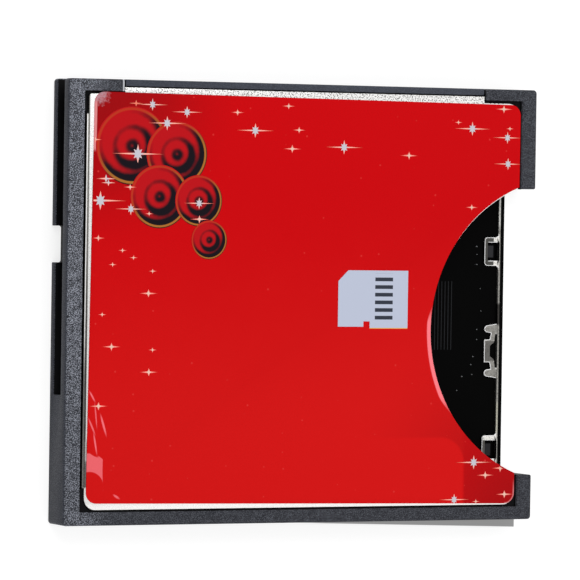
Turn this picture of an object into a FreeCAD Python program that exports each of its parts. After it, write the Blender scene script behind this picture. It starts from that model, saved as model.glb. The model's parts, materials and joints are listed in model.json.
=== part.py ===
import FreeCAD, Part
import math
import os
import Sketcher
from FreeCAD import Vector

# Memory card adapter: a flat host card whose open right side takes a smaller memory card.
# X runs across the card, Y points to the connector edge, Z rises from the rear face to the printed face.
# The origin is the middle of the rear face's outline, on the surface that the card lies on.

# Driving sizes in millimetres, and counts
SIZES = {
    # Host card outline
    "card_width": 42.8,
    "card_depth": 36.4,
    "card_height": 3.3,
    # Moulded rim, seen round the covers
    "side_rim": 1.4,
    "slot_side_rim": 1.43,
    "back_rim": 1.1,
    "front_rim": 0.96,
    "block_width": 4.87,
    "rim_corner": 0.3,
    "rim_bevel": 0.12,
    # Slot that takes the smaller card
    "slot_to_back": 3.78,
    "slot_to_front": 8.4,
    # Guide grooves and the notch in the rear lip
    "groove_deep": 0.76,
    "groove_low": 0.66,
    "groove_width": 1.65,
    "groove_length": 25.78,
    "key_groove_low": 0.98,
    "key_groove_width": 1.02,
    "notch_to_front": 12.0,
    "notch_length": 3.0,
    "notch_corner": 0.2,
    # Thicknesses through the stack
    "rear_recess": 0.1,
    "sheet_steel": 0.2,
    "label_film": 0.08,
    "ink_film": 0.02,
    "liner_film": 0.1,
    "fit_gap": 0.05,
    # Inner ledges of the frame
    "side_ledge": 2.6,
    "back_ledge": 1.9,
    "slot_ledge": 2.3,
    "bay_start": 10.4,
    "bay_wall": 0.6,
    "shelf_width": 0.7,
    "shelf_top": 1.0,
    "rail_width": 0.55,
    "rail_top": 1.35,
    "rail_to_edge": 6.5,
    # Pocket for the switch springs in the back ledge
    "switch_pocket_length": 13.6,
    "switch_pocket_low": 1.45,
    "switch_pocket_top": 2.75,
    # Covers
    "cover_side": 1.82,
    "cover_back": 1.28,
    "cover_front": 1.2,
    "cover_slot_side": 1.67,
    "cover_corner": 1.0,
    "tongue_inset": 0.1,
    "tongue_front": 0.65,
    "flange_side": 1.57,
    "flange_low_end": 3.08,
    "flange_high_end": 2.85,
    "flange_drop": 1.1,
    "flange_sheet": 0.15,
    "flange_groove": 0.1,
    "flange_bend": 0.1,
    # Round thumb cut-out
    "thumb_radius": 12.84,
    "thumb_beyond": 2.97,
    # Printed film
    "label_side_low": 2.0,
    "label_lean": 0.36,
    "label_back_left": 1.82,
    "label_back_right": 1.36,
    "label_front_left": 1.03,
    "label_front_right": 1.3,
    "label_slot_side": 1.65,
    "label_slot_lean": 0.11,
    "label_corner": 0.9,
    "label_thumb_gap": 0.06,
    # Turned-up edge of the rear cover at the slot, with its loops and clip
    "slot_edge": 1.48,
    "hem_outer": 1.9,
    "hem_width": 0.2,
    "hem_rise": 0.3,
    "tab_lift": 0.03,
    "tab_sheet": 0.16,
    "loop_reach": 3.4,
    "loop_length": 2.42,
    "loop_band": 0.28,
    "loop_arm": 0.44,
    "loop_foot": 0.24,
    "loop_slope": 0.71,
    "loop_lift": 0.1,
    "upper_loop_middle": 22.66,
    "lower_loop_middle": 5.8,
    "clip_middle": 14.2,
    "clip_reach": 3.3,
    "clip_bridge_length": 1.94,
    "clip_bridge_width": 0.55,
    "clip_lobe_apart": 3.76,
    "clip_lobe_radius": 0.3,
    "clip_lobe_foot": 0.45,
    # Ribs on the slot liner
    "liner_start": 14.6,
    "liner_rib_start": 8.0,
    "liner_rib_pitch": 0.31,
    "liner_rib_count": 6,
    "liner_rib_width": 0.07,
    "liner_rib_rise": 0.03,
    "liner_rib_low": 10.52,
    "liner_rib_length": 5.8,
    "peg_length": 1.0,
    "peg_width": 0.55,
    "peg_rise": 0.06,
    # Fifty-way connector
    "connector_depth": 5.4,
    "housing_lip": 0.54,
    "housing_seam": 0.14,
    "socket_pitch": 1.27,
    "socket_end_wall": 1.1,
    "socket_row_gap": 1.27,
    "socket_hole": 0.68,
    "socket_width": 0.5,
    "socket_half_rise": 0.3,
    "socket_blade": 0.12,
    "socket_mouth": 1.2,
    "socket_throat": 4.2,
    "contact_sheet": 0.15,
    "tail_reach": 1.7,
    # Circuit board and what it carries
    "board_thick": 0.6,
    "board_right": 9.6,
    "board_corner": 0.4,
    "chip_side": 4.0,
    "chip_rise": 0.9,
    "chip_across": 5.45,
    "chip_lead_pitch": 0.5,
    "chip_lead_count": 7,
    "chip_lead_width": 0.2,
    "chip_lead_length": 0.5,
    "crystal_length": 3.2,
    "crystal_width": 2.5,
    "crystal_rise": 0.8,
    "crystal_along": 22.0,
    "regulator_length": 2.9,
    "regulator_width": 1.5,
    "regulator_rise": 1.0,
    "part_clearance": 2.4,
    "chip_part_length": 1.0,
    "chip_part_width": 0.5,
    "chip_part_rise": 0.5,
    "chip_part_pitch": 1.6,
    "capacitor_count": 6,
    "resistor_count": 8,
    "part_row_to_front": 7.3,
    # Contacts for the smaller card
    "carrier_wall": 0.8,
    "carrier_floor": 0.3,
    "carrier_length": 4.8,
    "card_contact_count": 9,
    "card_contact_margin": 2.51,
    "card_contact_width": 0.8,
    "card_contact_rise": 0.75,
    "card_contact_reach": 3.6,
    # Switch springs
    "switch_strip": 0.12,
    "switch_width": 0.45,
    "switch_bump": 0.45,
    "protect_bump_inset": 3.0,
    "switch_bump_apart": 4.5,
    # Card symbol printed on the film
    "symbol_left": 24.4,
    "symbol_right": 30.85,
    "symbol_low": 16.3,
    "symbol_top": 21.0,
    "symbol_chamfer": 0.9,
    "symbol_notch_left": 26.75,
    "symbol_notch_width": 0.58,
    "symbol_notch_rise": 0.45,
    "symbol_foot": 0.16,
    # Four-pointed sparkles printed on the film
    "great_sparkle": 2.3,
    "large_sparkle": 1.7,
    "medium_sparkle": 1.4,
    "fair_sparkle": 0.85,
    "small_sparkle": 0.62,
    "tiny_sparkle": 0.4,
    "sparkle_core": 0.08,
    "sparkle_squash": 0.3,
}

# Where the sparkles stand: shares of the card's width and of its depth
GREAT_SPARKLES = ((0.143, 0.834), (0.067, 0.728))
LARGE_SPARKLES = ((0.388, 0.892), (0.857, 0.907), (0.871, 0.134), (0.203, 0.904), (0.578, 0.858))
MEDIUM_SPARKLES = (
    (0.172, 0.945), (0.244, 0.930), (0.130, 0.710), (0.272, 0.725), (0.935, 0.888), (0.937, 0.827),
    (0.829, 0.048),
)
FAIR_SPARKLES = (
    (0.169, 0.521), (0.172, 0.344), (0.094, 0.401), (0.069, 0.268), (0.926, 0.954), (0.467, 0.852),
    (0.719, 0.842), (0.930, 0.120), (0.897, 0.104), (0.940, 0.059), (0.078, 0.777), (0.273, 0.689),
)
SMALL_SPARKLES = (
    (0.138, 0.947), (0.055, 0.864), (0.083, 0.768), (0.128, 0.759), (0.350, 0.932), (0.458, 0.949),
    (0.064, 0.644), (0.481, 0.895), (0.858, 0.725),
)
TINY_SPARKLES = (
    (0.114, 0.617), (0.094, 0.585), (0.168, 0.700), (0.137, 0.601), (0.177, 0.571), (0.074, 0.473),
    (0.179, 0.394), (0.940, 0.909), (0.826, 0.921), (0.877, 0.043),
)
# Wave rings from the film's corner down to the middle of its left half: place and radius, as shares
WAVE_RINGS = (
    (0.131, 0.852, 0.0748), (0.224, 0.835, 0.0631), (0.189, 0.739, 0.0607), (0.271, 0.731, 0.0491),
    (0.294, 0.643, 0.0374),
)
# How near two sizes read from a shape count as the same
NEAR = 1e-3


class Size:
    """A length that carries both its number and the sheet expression behind it."""

    def __init__(self, number, text):
        self.number = number
        self.text = text

    def __add__(self, other):
        other = as_size(other)
        return Size(self.number + other.number, f"({self.text} + {other.text})")

    def __sub__(self, other):
        other = as_size(other)
        return Size(self.number - other.number, f"({self.text} - {other.text})")

    def __mul__(self, other):
        other = as_size(other)
        return Size(self.number * other.number, f"({self.text} * {other.text})")

    def __truediv__(self, other):
        other = as_size(other)
        return Size(self.number / other.number, f"({self.text} / {other.text})")

    def __neg__(self):
        return Size(-self.number, f"(-{self.text})")

    def whole(self):
        """The whole number below, as for copies in a row."""
        return Size(math.floor(self.number), f"floor({self.text})")


def as_size(value):
    """Turns a plain number into a Size."""
    return value if isinstance(value, Size) else Size(float(value), str(value))


def make_sheet(doc):
    """Writes the driving sizes into a spreadsheet, one named cell for each."""
    sheet = doc.addObject("Spreadsheet::Sheet", "Sizes")
    for row, (alias, number) in enumerate(SIZES.items(), 1):
        sheet.set(f"A{row}", alias.replace("_", " "))
        sheet.set(f"B{row}", str(number))
        sheet.setAlias(f"B{row}", alias)
    doc.recompute()
    return sheet


def size(alias):
    """The named size from the spreadsheet."""
    return Size(float(SHEET.get(alias)), f"Sizes.{alias}")


DOC = FreeCAD.newDocument("card_adapter")
SHEET = make_sheet(DOC)

# Outline, with the origin in its middle
LEFT = -size("card_width") / 2
RIGHT = size("card_width") / 2
BACK = -size("card_depth") / 2
FRONT = size("card_depth") / 2
TOP = size("card_height")
GAP = size("fit_gap")

# Levels through the thickness
REAR_SHEET_LOW = size("rear_recess")
REAR_SHEET_TOP = REAR_SHEET_LOW + size("sheet_steel")
LINER_TOP = REAR_SHEET_TOP + size("liner_film")
LABEL_TOP = TOP - size("ink_film")
FRONT_SHEET_TOP = LABEL_TOP - size("label_film")
FRONT_SHEET_LOW = FRONT_SHEET_TOP - size("sheet_steel")
BOARD_LOW = size("shelf_top")
BOARD_TOP = BOARD_LOW + size("board_thick")
MIDDLE = TOP / 2

# Slot and its thumb cut-out
SLOT_LOW = BACK + size("slot_to_back")
SLOT_HIGH = FRONT - size("slot_to_front")
THUMB_X = RIGHT + size("thumb_beyond")
THUMB_Y = (SLOT_LOW + SLOT_HIGH) / 2

# Places shared by the frame and what it holds
BAY_LEFT = LEFT + size("bay_start")
BLOCK_LEFT = LEFT + size("block_width")
BLOCK_RIGHT = RIGHT - size("block_width")
CONNECTOR_BACK = FRONT - size("connector_depth")
BOARD_RIGHT = LEFT + size("board_right")
SWITCH_POCKET_END = BAY_LEFT + size("switch_pocket_length")

# Rows that fit between their end walls
SOCKET_ROOM = BLOCK_RIGHT - BLOCK_LEFT - size("socket_end_wall") * 2
SOCKETS_IN_ROW = (SOCKET_ROOM / size("socket_pitch")).whole() + 1
CARD_CONTACT_ROOM = SLOT_HIGH - SLOT_LOW - size("card_contact_margin") * 2
CARD_CONTACT_PITCH = CARD_CONTACT_ROOM / (size("card_contact_count") - 1)


def plane(body, role):
    """One of the body's own origin planes."""
    return next(item for item in body.Origin.OriginFeatures if item.Role == role)


def new_body(name):
    """An empty body; its label names its file."""
    body = DOC.addObject("PartDesign::Body", name)
    body.Label = name
    return body


def new_sketch(body, name, role, offset):
    """A sketch on one of the body's origin planes, moved along its normal."""
    sketch = body.newObject("Sketcher::SketchObject", name)
    sketch.AttachmentSupport = (plane(body, role), [""])
    sketch.MapMode = "FlatFace"
    sketch.setExpression("AttachmentOffset.Base.z", as_size(offset).text)
    return sketch


def tie(sketch, kind, element, point, length):
    """Adds one driving constraint bound to the spreadsheet."""
    index = sketch.addConstraint(Sketcher.Constraint(kind, element, point, length.number))
    sketch.setExpression(f"Constraints[{index}]", length.text)


def polygon(sketch, corners):
    """A closed straight-sided outline whose corners are bound to the spreadsheet."""
    first = sketch.GeometryCount
    corners = [(as_size(x), as_size(y)) for x, y in corners]
    points = [Vector(x.number, y.number, 0) for x, y in corners]
    for start, end in zip(points, points[1:] + points[:1]):
        sketch.addGeometry(Part.LineSegment(start, end), False)
    for step in range(len(corners)):
        after = first + (step + 1) % len(corners)
        sketch.addConstraint(Sketcher.Constraint("Coincident", first + step, 2, after, 1))
    for step, (x, y) in enumerate(corners):
        tie(sketch, "DistanceX", first + step, 1, x)
        tie(sketch, "DistanceY", first + step, 1, y)


def box_corners(x_low, y_low, x_high, y_high):
    """The four corners of an upright rectangle."""
    return [(x_low, y_low), (x_high, y_low), (x_high, y_high), (x_low, y_high)]


def circle(sketch, x, y, radius):
    """A full circle bound to the spreadsheet."""
    round_line = Part.Circle(Vector(x.number, y.number, 0), Vector(0, 0, 1), radius.number)
    element = sketch.addGeometry(round_line, False)
    tie(sketch, "DistanceX", element, 3, x)
    tie(sketch, "DistanceY", element, 3, y)
    index = sketch.addConstraint(Sketcher.Constraint("Radius", element, radius.number))
    sketch.setExpression(f"Constraints[{index}]", radius.text)


def slab(body, name, low, high, *outlines):
    """Pads flat outlines from one level up to another."""
    sketch = new_sketch(body, name + "_plan", "XY_Plane", low)
    for corners in outlines:
        polygon(sketch, corners)
    pad = body.newObject("PartDesign::Pad", name)
    pad.Profile = sketch
    pad.setExpression("Length", (as_size(high) - low).text)
    return pad


def recess(body, name, low, high, *outlines):
    """Cuts flat outlines out of the body from one level up to another."""
    sketch = new_sketch(body, name + "_plan", "XY_Plane", low)
    for corners in outlines:
        polygon(sketch, corners)
    pocket = body.newObject("PartDesign::Pocket", name)
    pocket.Profile = sketch
    pocket.Reversed = True
    pocket.setExpression("Length", (as_size(high) - low).text)
    return pocket


def disc_cut(body, name, low, high, x, y, radius):
    """Cuts a round opening from one level up to another."""
    sketch = new_sketch(body, name + "_plan", "XY_Plane", low)
    circle(sketch, x, y, radius)
    pocket = body.newObject("PartDesign::Pocket", name)
    pocket.Profile = sketch
    pocket.Reversed = True
    pocket.setExpression("Length", (as_size(high) - low).text)
    return pocket


def disc(body, name, low, high, x, y, radius):
    """Pads a round disc from one level up to another."""
    sketch = new_sketch(body, name + "_plan", "XY_Plane", low)
    circle(sketch, x, y, radius)
    pad = body.newObject("PartDesign::Pad", name)
    pad.Profile = sketch
    pad.setExpression("Length", (as_size(high) - low).text)
    return pad


def strip(body, name, role, offset, width, corners):
    """Pads a side profile evenly to both sides of its plane."""
    sketch = new_sketch(body, name + "_profile", role, offset)
    polygon(sketch, corners)
    pad = body.newObject("PartDesign::Pad", name)
    pad.Profile = sketch
    pad.SideType = "Symmetric"
    pad.setExpression("Length", width.text)
    return pad


def near(value, *levels):
    """Whether a number lies on one of the levels."""
    return any(abs(value - level.number) < NEAR for level in levels)


def upright_at(*places):
    """Picks the upright edges that stand at the given places."""
    def chosen(edge):
        box = edge.BoundBox
        if box.XLength > NEAR or box.YLength > NEAR:
            return False
        return any(near(box.XMin, as_size(x)) and near(box.YMin, as_size(y)) for x, y in places)
    return chosen


def dress_edges(body, name, kind, size_name, radius, chosen):
    """Rounds or bevels the chosen edges of the body's newest shape."""
    DOC.recompute()
    base = body.Tip
    names = [f"Edge{number}" for number, edge in enumerate(base.Shape.Edges, 1) if chosen(edge)]
    dressing = body.newObject(kind, name)
    dressing.Base = (base, names)
    dressing.setExpression(size_name, radius.text)
    return dressing


def round_edges(body, name, radius, chosen):
    """Rounds the chosen edges."""
    return dress_edges(body, name, "PartDesign::Fillet", "Radius", radius, chosen)


def bevel_edges(body, name, width, chosen):
    """Bevels the chosen edges."""
    return dress_edges(body, name, "PartDesign::Chamfer", "Size", width, chosen)


def repeat(body, name, feature, axis, count, pitch):
    """Repeats a feature in a straight row along an axis of its own sketch."""
    row = body.newObject("PartDesign::LinearPattern", name)
    row.Originals = [feature]
    row.Direction = (feature.Profile[0], [axis])
    row.setExpression("Length", ((count - 1) * pitch).text)
    row.setExpression("Occurrences", count.text)
    body.Tip = row
    return row


# Moulded frame

def make_frame():
    """One moulding: rim, corner blocks, ledges, shelf for the board, and rails in the slot."""
    body = new_body("frame")
    side = LEFT + size("side_rim")
    slot_side = RIGHT - size("slot_side_rim")
    back = BACK + size("back_rim")
    front = FRONT - size("front_rim")
    ledge = LEFT + size("side_ledge")
    back_ledge = BACK + size("back_ledge")
    wall_top = SLOT_HIGH + size("bay_wall")
    half_side = LEFT + size("side_rim") / 2
    half_slot_side = RIGHT - size("slot_side_rim") / 2
    half_back = BACK + size("back_rim") / 2
    half_front = FRONT - size("front_rim") / 2

    slab(body, "frame_rim", 0, TOP, [
        (LEFT, BACK), (RIGHT, BACK), (RIGHT, SLOT_LOW), (slot_side, SLOT_LOW), (slot_side, back),
        (side, back), (side, front), (BLOCK_LEFT, front), (BLOCK_LEFT, FRONT), (LEFT, FRONT),
    ], [
        (RIGHT, FRONT), (BLOCK_RIGHT, FRONT), (BLOCK_RIGHT, front), (slot_side, front),
        (slot_side, SLOT_HIGH), (RIGHT, SLOT_HIGH),
    ])
    slab(body, "frame_ledge", REAR_SHEET_TOP, FRONT_SHEET_LOW, [
        (half_side, half_back), (half_slot_side, half_back), (half_slot_side, SLOT_LOW),
        (BAY_LEFT, SLOT_LOW), (BAY_LEFT, back_ledge), (ledge, back_ledge),
        (ledge, CONNECTOR_BACK), (BLOCK_LEFT, CONNECTOR_BACK), (BLOCK_LEFT, half_front),
        (half_side, half_front),
    ])
    slot_ledge = RIGHT - size("slot_ledge")
    slab(body, "frame_slot_wall", REAR_SHEET_TOP, FRONT_SHEET_LOW, [
        (BAY_LEFT, SLOT_HIGH), (half_slot_side, SLOT_HIGH), (half_slot_side, half_front),
        (BLOCK_RIGHT, half_front), (BLOCK_RIGHT, CONNECTOR_BACK), (slot_ledge, CONNECTOR_BACK),
        (slot_ledge, wall_top), (BAY_LEFT, wall_top),
    ])
    shelf = ledge + size("shelf_width")
    back_shelf = back_ledge + size("shelf_width")
    wall_lap = BAY_LEFT + size("bay_wall")
    slab(body, "frame_board_shelf", REAR_SHEET_TOP, BOARD_LOW, [
        (side, back), (BAY_LEFT, back), (BAY_LEFT, back_shelf), (shelf, back_shelf),
        (shelf, SLOT_HIGH), (wall_lap, SLOT_HIGH), (wall_lap, wall_top), (shelf, wall_top),
        (shelf, CONNECTOR_BACK), (side, CONNECTOR_BACK),
    ])
    make_slot_rails(body)
    make_frame_cuts(body, side)
    corners = [(LEFT, BACK), (RIGHT, BACK), (LEFT, FRONT), (RIGHT, FRONT)]
    round_edges(body, "frame_corners", size("rim_corner"), upright_at(*corners))
    posts = [(RIGHT, SLOT_LOW), (RIGHT, SLOT_HIGH), (slot_side, SLOT_LOW), (slot_side, SLOT_HIGH)]
    round_edges(body, "frame_post_corners", size("rim_corner") / 2, upright_at(*posts))
    bevel_edges(body, "frame_front_bevel", size("rim_bevel"), frame_face_edge)
    return body


def make_slot_rails(body):
    """Two rails that carry the thin long edges of the inserted card."""
    rail_end = RIGHT - size("rail_to_edge")
    low = LINER_TOP + GAP
    inside = SLOT_HIGH + size("bay_wall") / 2
    slab(body, "frame_front_rail", low, size("rail_top"), box_corners(
        LEFT + size("liner_start"), SLOT_HIGH - size("rail_width"), rail_end, inside))
    slab(body, "frame_back_rail", low, size("rail_top"), box_corners(
        SWITCH_POCKET_END, SLOT_LOW - size("bay_wall"), rail_end, SLOT_LOW + size("rail_width")))


def make_frame_cuts(body, side):
    """Guide grooves, the notch in the rear lip, the switch pocket and the flange channel."""
    outside = size("groove_deep")
    groove_low = size("groove_low")
    recess(body, "frame_guide_groove", groove_low, groove_low + size("groove_width"), box_corners(
        LEFT - outside, FRONT - size("groove_length"), LEFT + outside, FRONT + outside))
    key_low = size("key_groove_low")
    recess(body, "frame_key_groove", key_low, key_low + size("key_groove_width"), box_corners(
        RIGHT - outside, SLOT_HIGH - outside, RIGHT + outside, FRONT + outside))
    notch_high = FRONT - size("notch_to_front")
    notch_low = notch_high - size("notch_length")
    recess(body, "frame_notch", -outside, groove_low + GAP, box_corners(
        LEFT - outside, notch_low, LEFT + outside, notch_high))
    notch_ends = [(LEFT + outside, notch_low), (LEFT + outside, notch_high)]
    round_edges(body, "frame_notch_corners", size("notch_corner"), upright_at(*notch_ends))
    back_ledge = BACK + size("back_ledge")
    low = size("switch_pocket_low")
    high = size("switch_pocket_top")
    recess(body, "frame_switch_pocket", low, high, box_corners(
        LEFT + size("side_ledge"), back_ledge, SWITCH_POCKET_END, SLOT_LOW + outside))
    channel_low = FRONT_SHEET_TOP - size("flange_drop") - GAP
    recess(body, "frame_flange_channel", channel_low, FRONT_SHEET_LOW + GAP, box_corners(
        side, BACK + size("flange_low_end") - GAP, LEFT + size("cover_side"),
        FRONT - size("flange_high_end") + GAP))


def frame_face_edge(edge):
    """Picks the outer edges of the rim's front face."""
    box = edge.BoundBox
    if not (near(box.ZMin, TOP) and near(box.ZMax, TOP)):
        return False
    corner = SIZES["rim_corner"] + NEAR
    beside = box.XMax < LEFT.number + corner or box.XMin > RIGHT.number - corner
    endways = box.YMax < BACK.number + corner or box.YMin > FRONT.number - corner
    return beside or endways


# Connector

def make_housing():
    """Moulded block with two rows of square holes that the host's pins enter."""
    body = new_body("connector_housing")
    left = BLOCK_LEFT + size("housing_seam")
    right = BLOCK_RIGHT - size("housing_seam")
    slab(body, "housing_block", REAR_SHEET_TOP, FRONT_SHEET_LOW,
         box_corners(left, CONNECTOR_BACK, right, FRONT))
    slab(body, "housing_lip", REAR_SHEET_LOW, FRONT_SHEET_TOP,
         box_corners(left, FRONT - size("housing_lip"), right, FRONT))
    half = size("socket_hole") / 2
    first = first_socket()
    for name, level in (("upper", upper_row()), ("lower", lower_row())):
        sketch = new_sketch(body, f"housing_{name}_hole_plan", "XZ_Plane", 0)
        polygon(sketch, box_corners(first - half, level - half, first + half, level + half))
        hole = body.newObject("PartDesign::Pocket", f"housing_{name}_hole")
        hole.Profile = sketch
        hole.Type = "ThroughAll"
        repeat(body, f"housing_{name}_holes", hole, "H_Axis",
               SOCKETS_IN_ROW, size("socket_pitch"))
    return body


def first_socket():
    """Place of the first socket, with the row centred on the card."""
    return -(SOCKETS_IN_ROW - 1) * size("socket_pitch") / 2


def upper_row():
    """Level of the upper row of sockets."""
    return MIDDLE + size("socket_row_gap") / 2


def lower_row():
    """Level of the lower row of sockets."""
    return MIDDLE - size("socket_row_gap") / 2


def make_socket_row(name, level, pad_face, sheet_side):
    """A row of forked contacts whose tails step to one face of the board."""
    body = new_body(name)
    rise = size("socket_half_rise")
    blade = size("socket_blade")
    half_sheet = size("contact_sheet") / 2
    mouth = FRONT - size("socket_mouth")
    throat = FRONT - size("socket_throat")
    heel = CONNECTOR_BACK + GAP
    step = CONNECTOR_BACK - GAP * 2
    foot = CONNECTOR_BACK - size("socket_row_gap") / 2
    toe = CONNECTOR_BACK - size("tail_reach")
    far_face = pad_face + size("contact_sheet") * sheet_side
    foot_low, foot_high = (pad_face, far_face) if sheet_side > 0 else (far_face, pad_face)
    fork = strip(body, name + "_fork", "YZ_Plane", first_socket(), size("socket_width"), [
        (toe, foot_high), (foot, foot_high), (step, level + half_sheet), (heel, level + half_sheet),
        (heel, level + rise), (mouth, level + rise), (mouth, level + rise - blade),
        (throat, level + rise - blade), (throat, level - rise + blade),
        (mouth, level - rise + blade), (mouth, level - rise), (heel, level - rise),
        (heel, level - half_sheet), (step, level - half_sheet), (foot, foot_low), (toe, foot_low),
    ])
    repeat(body, name + "_row", fork, "N_Axis", SOCKETS_IN_ROW, size("socket_pitch"))
    return body


# Sheet steel covers

def cover_plan(side, back, slot_side, slot_edge=None):
    """Outline of a cover, with its tongue over the connector."""
    front = FRONT - size("cover_front")
    tongue_left = BLOCK_LEFT + size("tongue_inset")
    tongue_right = BLOCK_RIGHT - size("tongue_inset")
    tongue = FRONT - size("tongue_front")
    plan = [(side, back), (slot_side, back)]
    if slot_edge is not None:
        plan += [(slot_side, SLOT_LOW + GAP), (slot_edge, SLOT_LOW + GAP),
                 (slot_edge, SLOT_HIGH - GAP), (slot_side, SLOT_HIGH - GAP)]
    plan += [(slot_side, front), (tongue_right, front), (tongue_right, tongue),
             (tongue_left, tongue), (tongue_left, front), (side, front)]
    return plan


def make_front_cover():
    """Steel sheet with a folded left flange and the round thumb cut-out."""
    body = new_body("front_cover")
    side = LEFT + size("cover_side")
    back = BACK + size("cover_back")
    slot_side = RIGHT - size("cover_slot_side")
    front = FRONT - size("cover_front")
    slab(body, "front_cover_sheet", FRONT_SHEET_LOW, FRONT_SHEET_TOP,
         cover_plan(side, back, slot_side))
    flange_outer = LEFT + size("flange_side")
    flange_inner = flange_outer + size("flange_sheet")
    low_end = BACK + size("flange_low_end")
    high_end = FRONT - size("flange_high_end")
    slab(body, "front_cover_groove", FRONT_SHEET_LOW, FRONT_SHEET_TOP - size("flange_groove"),
         box_corners(flange_outer, low_end, side + GAP, high_end))
    slab(body, "front_cover_flange", FRONT_SHEET_TOP - size("flange_drop"), FRONT_SHEET_TOP,
         box_corners(flange_outer, low_end, flange_inner, high_end))
    round_edges(body, "front_cover_back_corners", size("cover_corner"),
                upright_at((side, back), (slot_side, front), (slot_side, back)))
    round_edges(body, "front_cover_front_corner", size("cover_corner") / 3, upright_at((side, front)))
    disc_cut(body, "front_cover_thumb", FRONT_SHEET_LOW - GAP, TOP, THUMB_X, THUMB_Y,
             size("thumb_radius"))
    round_edges(body, "front_cover_fold", size("flange_bend"), front_fold_edge)
    return body


def front_fold_edge(edge):
    """Picks the outer edge along the top of the left flange."""
    box = edge.BoundBox
    on_side = near(box.XMin, LEFT + size("flange_side")) and box.XLength < NEAR
    return on_side and near(box.ZMin, FRONT_SHEET_TOP)


def make_rear_cover():
    """Steel sheet whose slot edge turns up through the liner and carries two loops and a clip."""
    body = new_body("rear_cover")
    side = LEFT + size("flange_side") + GAP
    back = BACK + size("cover_back")
    slot_side = RIGHT - size("cover_slot_side")
    front = FRONT - size("cover_front")
    slab(body, "rear_cover_sheet", REAR_SHEET_LOW, REAR_SHEET_TOP,
         cover_plan(side, back, slot_side, RIGHT - size("slot_edge")))
    round_edges(body, "rear_cover_corners", size("cover_corner") / 2,
                upright_at((side, back), (side, front), (slot_side, front), (slot_side, back)))
    hem_outer = RIGHT - size("hem_outer")
    hem_inner = hem_outer - size("hem_width")
    hem_low = SLOT_LOW + GAP * 4
    hem_high = SLOT_HIGH - GAP * 4
    slab(body, "rear_cover_hem", REAR_SHEET_LOW, REAR_SHEET_TOP + size("hem_rise"),
         box_corners(hem_inner, hem_low, hem_outer, hem_high))
    make_hem_loops(body, hem_inner)
    make_hem_clip(body, hem_inner)
    return body


def tab_levels():
    """Lower and upper level of the tabs that lie over the liner."""
    low = LINER_TOP + size("tab_lift")
    return low, low + size("tab_sheet")


def loop_places():
    """The two loops and where each has its middle."""
    return (("upper", BACK + size("upper_loop_middle")), ("lower", BACK + size("lower_loop_middle")))


def make_hem_loops(body, hem_inner):
    """Two square loops that lap over the hem on wide feet and slope down to the liner."""
    low, high = tab_levels()
    lift = size("loop_lift")
    tip = RIGHT - size("loop_reach")
    bend = tip + size("loop_slope")
    root = hem_inner + GAP
    foot = size("loop_foot")
    half = size("loop_length") / 2
    arm = size("loop_arm")
    for name, y in loop_places():
        strip(body, f"rear_cover_{name}_loop", "XZ_Plane", -y, size("loop_length"), [
            (root, low + lift), (bend, low + lift), (tip, low),
            (tip, high), (bend, high + lift), (root, high + lift),
        ])
        slab(body, f"rear_cover_{name}_loop_feet", low + lift, high + lift, [
            (hem_inner - foot, y - half), (root, y - half - foot),
            (root, y + half + foot), (hem_inner - foot, y + half),
        ])
        recess(body, f"rear_cover_{name}_loop_window", low - GAP, high + lift + GAP,
               box_corners(tip + size("loop_band"), y - half + arm, hem_inner, y + half - arm))
        round_edges(body, f"rear_cover_{name}_loop_corners", arm * 0.6,
                    upright_at((tip, y - half), (tip, y + half)))


def make_hem_clip(body, hem_inner):
    """A spring clip: a bridge whose necks run to two leaf-shaped lobes on the hem."""
    low, high = tab_levels()
    tip = RIGHT - size("clip_reach")
    y = BACK + size("clip_middle")
    half_bridge = size("clip_bridge_length") / 2
    width = size("clip_bridge_width")
    radius = size("clip_lobe_radius")
    foot = size("clip_lobe_foot")
    slab(body, "rear_cover_clip_bridge", low, high,
         box_corners(tip, y - half_bridge, tip + width, y + half_bridge))
    for name, side in (("upper", 1), ("lower", -1)):
        lobe_y = y + size("clip_lobe_apart") * side / 2
        lobe_x = tip + radius
        end = y + half_bridge * side
        disc(body, f"rear_cover_{name}_lobe", low, high, lobe_x, lobe_y, radius)
        slab(body, f"rear_cover_{name}_lobe_arm", low, high, [
            (lobe_x, lobe_y - radius), (hem_inner + GAP, lobe_y - foot),
            (hem_inner + GAP, lobe_y + foot), (lobe_x, lobe_y + radius),
        ])
        slab(body, f"rear_cover_{name}_clip_neck", low, high, [
            (tip + width * 0.9, end - width * 0.2 * side), (tip + width * 0.98, end - width * side),
            (tip + width * 1.7, end - width * 0.45 * side),
            (tip + width * 2, lobe_y - radius * 0.6 * side),
            (tip + width * 1.25, lobe_y - radius * 0.6 * side),
        ])


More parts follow.
